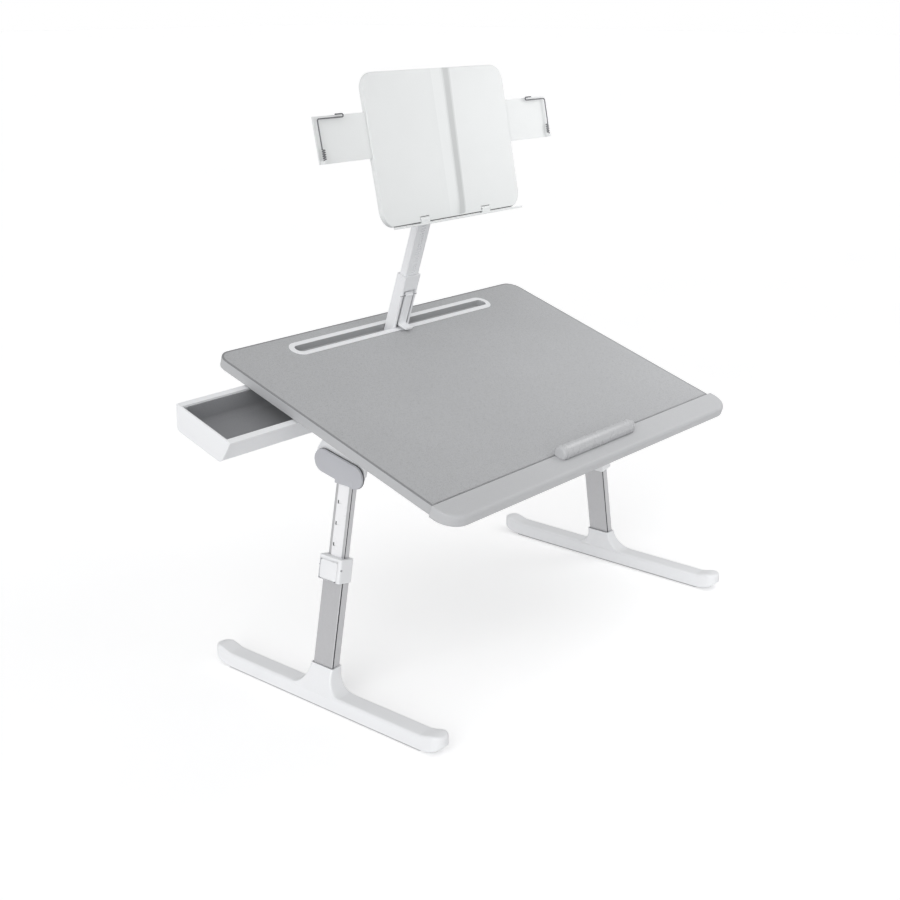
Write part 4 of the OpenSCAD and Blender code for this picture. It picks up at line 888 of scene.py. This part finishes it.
def foot(s):
    """A foot: a long soft bar with rounded, upturned tips, and the flared neck that holds the outer tube."""
    def section(y, half_w, low, high):
        rt, rb = min(4.2, half_w * 0.8, (high - low) * 0.4), min(1.6, half_w * 0.5, (high - low) * 0.3)
        pts = [(x, z) for (x, z), _ in arc(half_w - rt, high - rt, rt, 0, 90, 6)]
        pts += [(x, z) for (x, z), _ in arc(-half_w + rt, high - rt, rt, 90, 180, 6)]
        pts += [(x, z) for (x, z), _ in arc(-half_w + rb, low + rb, rb, 180, 270, 4)]
        pts += [(x, z) for (x, z), _ in arc(half_w - rb, low + rb, rb, 270, 360, 4)]
        return [(x, y - FOOT_SHIFT, z) for x, z in pts]

    count, end_r = 22, 14.0
    ys = []
    for k in range(count + 1):
        a = math.pi / 2 * k / count
        ys.append((FOOT_HALF - end_r + end_r * math.sin(a), end_r * (1 - math.cos(a))))
    mid = [FOOT_HALF - TIP_L - 6 + (TIP_L + 6 - end_r) * k / 10 for k in range(10)]
    half_line = [(y, 0.0) for y in [0, 60, 120, 150, 162] + mid] + ys

    def heights(y):
        over = max(0.0, y - (FOOT_HALF - TIP_L))
        low = SOLE + TIP_R - math.sqrt(max(0.0, TIP_R ** 2 - over ** 2))
        rise = smooth_step((y - (FOOT_HALF - TIP_L - 6)) / (TIP_L - 4))
        return low, FOOT_H + (TIP_H - FOOT_H) * rise

    def ring_at(y, draw, sign):
        low, high = heights(y)
        end = draw / end_r
        drop = 1 - math.sqrt(max(0.0, 1 - end ** 2))
        high, low = high - 8.0 * drop, low + 1.5 * drop
        half_w = max(0.35, FOOT_W - 0.05 - draw)
        return section(sign * y, half_w, low, high)

    loops = [ring_at(y, d, -1) for y, d in reversed(half_line)] + [ring_at(y, d, 1) for y, d in half_line[1:]]
    bar = bmesh.new()
    rings = [[bar.verts.new(q) for q in loop] for loop in loops]
    capped(bar, rings)
    ob = made("foot_%s_look" % SIDE[s], bar, FOOT[s], 48)
    # The neck: outlines at rising heights, flared wide at the bar
    neck = bmesh.new()
    shift = -NECK_Z * math.tan(SPLAY)
    rings = []
    steps = 16
    for k in range(steps + 1):
        z = FOOT_H - 1.2 + (NECK_Z - FOOT_H + 1.2) * k / steps
        f = (z - FOOT_H + 1) / (NECK_Z - FOOT_H + 1)
        rise = min(FLARE, max(0.0, z - (FOOT_H - 1)))
        b = NECK_HALF + FLARE - math.sqrt(max(0.0, FLARE ** 2 - (FLARE - rise) ** 2))
        x0 = -13.25 + (shift - 9.5 + 13.25) * f
        x1 = 13.25 + (shift + 9.5 - 13.25) * f
        rings.append([neck.verts.new((q[0], q[1], z)) for q, _ in round_box(x0, x1, -b, b, (3, 3, 3, 3), 6)])
    capped(neck, rings)
    top = cut_away(made("neck", neck, FOOT[s], 48), [tool(LEG[s], -7.1, 7.1, -17.6, 17.6, 27.9, 90)])
    join(ob, top)
    return dress(even_normals(ob), "foot_" + SIDE[s], white)


for s in (-1, 1):
    side = SIDE[s]
    soften("hinge_base_" + side, 0.4, white, 2)
    soften("fold_arm_" + side, 0.8, white)
    soften("leg_head_" + side, 0.5, white, 2)
    head_cover(s)
    tubes(s)
    strip(s)
    sleeve(s)
    latch(s)
    foot(s)
    repaint("foot_rubber_" + side, rubber_mat)
    repaint("tube_guide_" + side, white)
    for n in ("fold_pin_", "tilt_pin_", "tilt_fasteners_", "latch_pin_"):
        repaint(n + side, steel_mat)


# ---------------------------------------------------------------- book stand
COIL_TURNS, COIL_STEPS = 5, 20


def clip_path():
    """The clip wire's centreline in the board frame: a tail in the lug, the coil, the upright, the arm and its loop."""
    wx, wy, z0, arm_z = 234.5, -17.7, 5.5, 60.8

    def bend(cx, cz, r, angles):
        """An arc of the wire round a centre beside the top of the upright."""
        turn = [math.radians(a) for a in angles]
        return [(wx + cx + r * math.cos(a), wy, arm_z + cz + r * math.sin(a)) for a in turn]

    pts = [(wx, wy, z0 + 0.1), (wx, wy, z0 + 2), (wx, wy, z0 + 4)]
    coil_z, pitch, cr, steps = z0 + 5, 2.7, 1.9, COIL_STEPS
    for k in range(COIL_TURNS * steps + 1):
        a = 2 * math.pi * k / steps
        pts.append((wx - cr + cr * math.cos(a), wy - cr * math.sin(a), coil_z + pitch * k / steps))
    pts += [(wx, wy, coil_z + COIL_TURNS * pitch + 2), (wx, wy, arm_z - 20), (wx, wy, arm_z - 8)]
    pts += bend(-3, -3, 3, range(0, 91, 15))
    pts += [(wx - 20, wy, arm_z), (wx - 36, wy, arm_z)]
    pts += bend(-44, 2, 2, range(270, 89, -20))
    pts += [(wx - 38, wy, arm_z + 4), (wx - 32, wy, arm_z + 4)]
    return [Vector(q) for q in pts]


def wire_clip(s):
    """The sprung clip: a round wire along its path, thinner in the coil so that its turns stay apart."""
    pts, r, seg = clip_path(), 0.85, 14
    bm = bmesh.new()
    side_dir = Vector((1, 0, 0))
    rings = []
    for k, q in enumerate(pts):
        d = (pts[min(k + 1, len(pts) - 1)] - pts[max(k - 1, 0)]).normalized()
        side_dir = (side_dir - side_dir.dot(d) * d).normalized()
        up = d.cross(side_dir)
        f = 0.72 if 3 < k < 3 + COIL_TURNS * COIL_STEPS else 1.0
        turn = [2 * math.pi * j / seg for j in range(seg)]
        rings.append([bm.verts.new(q + r * f * (math.cos(a) * side_dir + math.sin(a) * up)) for a in turn])
    capped(bm, rings)
    ob = made("page_clip_%s_look" % SIDE[s], bm, BOARD @ mirror(s), 50)
    return dress(ob, "page_clip_" + SIDE[s], wire_mat)


for s in (-1, 1):
    soften("wing_" + SIDE[s], 0.5, white_board, 2)
    wire_clip(s)
soften("stand_post", 0.7, white)
soften("stand_lever", 0.5, white)
repaint("inner_post", white)

# The ridge: how far across it the crest is, and the painted highlight and painted shade on parts of its width (from,
# to, material)
RISE, FALL, RIDGE_H = 0.54, 0.46, 3.0
RIDGE_PAINTED_SHADING = ((0.24, 0.5, 2), (0.64, 0.9, 4), (0.56, 0.97, 3))


def board_front():
    """The board's front shell. Its ridge rises gently from the left and drops more steeply on the right; its left slope
    carries a painted highlight and its right slope painted shade.
    """
    x1, z0, z1, y0, y1, edge = 144.0, -86.0, 114.0, -16.0, -13.6, 1.0
    path = round_box(-x1, x1, z0, z1, (23, 23, 23, 23), 14)
    bm = bmesh.new()
    rings = [[bm.verts.new((q[0], y1, q[1])) for q, _ in path]]
    for a in quarter(4):
        d, y = edge * (1 - math.cos(a)), y0 + edge * (1 - math.sin(a))
        rings.append([bm.verts.new((q[0] - n[0] * d, y, q[1] - n[1] * d)) for q, n in path])
    capped(bm, rings)
    ob = made("board_front_look", bm, BOARD, 40)
    cutters = [tool(BOARD, s * 64.5 - 9.2, s * 64.5 + 9.2, y0 - 1, y1 + 1, z0 - 1, -77.5) for s in (-1, 1)]
    cut_away(ob, cutters + [tool(BOARD, -127, 127, y0 - 1, y0 + 1.3, z0 - 1, z0 + 1.3)])
    even_normals(ob)
    # The ridge is a skin of columns over the plate, sunk into it
    wave = bmesh.new()
    cols, rows = 30, 12
    top = []
    for k in range(rows + 1):
        up = k / rows
        z = -83.5 + (z1 - 0.5 + 83.5) * up
        left, crest, right = -24.0, 4.0 + 5.0 * up, 24.0 + 9.0 * up
        line = []
        for c in range(cols + 1):
            f = c / cols
            if f < RISE:
                x, h = left + (crest - left) * f / RISE, smooth_step(f / RISE)
            else:
                x, h = crest + (right - crest) * (f - RISE) / FALL, 1 - smooth_step((f - RISE) / FALL)
            high = RIDGE_H * h * (smooth_step(up / 0.03) if k < rows else 0.9)
            line.append(wave.verts.new((x, y0 + 0.02 - high, z)))
        top.append(line)
    back = [[wave.verts.new((v.co.x, y0 + 0.8, v.co.z)) for v in (line[0], line[-1])] for line in top]
    for k in range(rows):
        for c in range(cols):
            f = (c + 0.5) / cols
            # Each column gets the painted highlight, painted half shade or painted shade of its part of the ridge
            index = next((i for a, b, i in RIDGE_PAINTED_SHADING if a < f < b), 0)
            wave.faces.new((top[k][c], top[k][c + 1], top[k + 1][c + 1], top[k + 1][c])).material_index = index
        wave.faces.new((top[k][0], top[k + 1][0], back[k + 1][0], back[k][0]))
        wave.faces.new((top[k][-1], back[k][1], back[k + 1][1], top[k + 1][-1]))
        wave.faces.new((back[k][0], back[k + 1][0], back[k + 1][1], back[k][1]))
    for k in (0, -1):
        wave.faces.new(top[k] + [back[k][1], back[k][0]])
    join(ob, made("ridge", wave, BOARD, 60))
    dress(ob, "board_front", [white_board, groove_painted_shade_mat, ridge_painted_highlight, ridge_painted_half_shade, ridge_painted_shade])

    def gap(c, n, m):
        """The painted shadow line in the rebate above the page ledge."""
        return 1 if c.z < z0 + 1.35 and y0 + 0.2 < c.y < y1 - 0.05 and abs(c.x) < 127.1 else m

    zones(ob, BOARD, gap)


board_front()
soften("board_back", 1.4, white_board)
soften("board_bracket", 0.4, white_board, 2)
soften("page_ledge", 0.6, white_board)
for n in ("underside_screws", "post_pin", "lever_pin", "board_pin", "ledge_pins"):
    repaint(n, steel_mat)


# ---------------------------------------------------------------- floor and light
def plane(name, size, z):
    mesh = bpy.data.meshes.new(name)
    h = size / 2
    mesh.from_pydata([(-h, -h, z), (h, -h, z), (h, h, z), (-h, h, z)], [], [(0, 1, 2, 3)])
    ob = new_object(name, mesh)
    return ob


def floor_paint():
    """A pale matt floor that shows white to the camera and in reflections, and keeps the shadow."""
    p = Paint("floor")
    slow = p.ramp(p.noise(3, 2).outputs[0], 0.3, 0.7)
    p.wire("Base Color", p.mix(slow, (0.86, 0.86, 0.865, 1), (0.88, 0.88, 0.885, 1)))
    p.set(roughness=0.9, specular_ior_level=0.1, emission_color=(1, 1, 1, 1))
    path = p.add("ShaderNodeLightPath")
    seen = p.add("ShaderNodeMath", operation="MAXIMUM")
    p.link(path.outputs["Is Camera Ray"], seen.inputs[0])
    p.link(path.outputs["Is Glossy Ray"], seen.inputs[1])
    through = p.add("ShaderNodeMath", operation="MAXIMUM")
    p.link(seen.outputs[0], through.inputs[0])
    p.link(path.outputs["Is Transmission Ray"], through.inputs[1])
    p.wire("Emission Strength", p.times(through.outputs[0], 0.32))
    return p.mat


floor = plane("floor", 60, -0.0004)
floor.data.materials.append(floor_paint())

world = bpy.data.worlds.new("studio")
scene.world = world
world.use_nodes = True
wt = world.node_tree
sky = wt.nodes["Background"]
sky.inputs["Color"].default_value = (1, 1, 1, 1)
rays = wt.nodes.new("ShaderNodeLightPath")
seen = wt.nodes.new("ShaderNodeMath")
seen.operation = "MAXIMUM"
wt.links.new(rays.outputs["Is Camera Ray"], seen.inputs[0])
wt.links.new(rays.outputs["Is Transmission Ray"], seen.inputs[1])
strength = wt.nodes.new("ShaderNodeMapRange")
wt.links.new(seen.outputs[0], strength.inputs["Value"])
strength.inputs["To Min"].default_value = 0.5
strength.inputs["To Max"].default_value = 1.0
wt.links.new(strength.outputs[0], sky.inputs["Strength"])


def sun(name, towards_light, energy, spread):
    """A soft sun: the direction towards it, its energy and its spread in degrees."""
    data = bpy.data.lights.new(name, "SUN")
    data.energy = energy
    data.angle = math.radians(spread)
    ob = bpy.data.objects.new(name, data)
    ob.location = Vector(towards_light) * 3
    ob.rotation_euler = Vector(towards_light).to_track_quat("Z", "Y").to_euler()
    scene.collection.objects.link(ob)


sun("key_left", (-0.77, -0.27, 0.58), 0.95, 50)
sun("low_left", (-0.88, -0.4, 0.2), 0.6, 30)
sun("fill_front", (0.4, -0.9, 0.25), 0.2, 60)
sun("top_soft", (0.15, 0.1, 1.0), 0.2, 90)
panel_data = bpy.data.lights.new("panel_right", "AREA")
panel_data.shape = "DISK"
panel_data.size = 0.5
panel_data.energy = 1.3
panel = bpy.data.objects.new("panel_right", panel_data)
panel.location = (0.55, -0.35, 0.85)
panel.rotation_euler = (panel.location - Vector((0.25, -0.1, 0.3))).to_track_quat("Z", "Y").to_euler()
panel.visible_camera = False
scene.collection.objects.link(panel)

scene.view_settings.view_transform = "Standard"
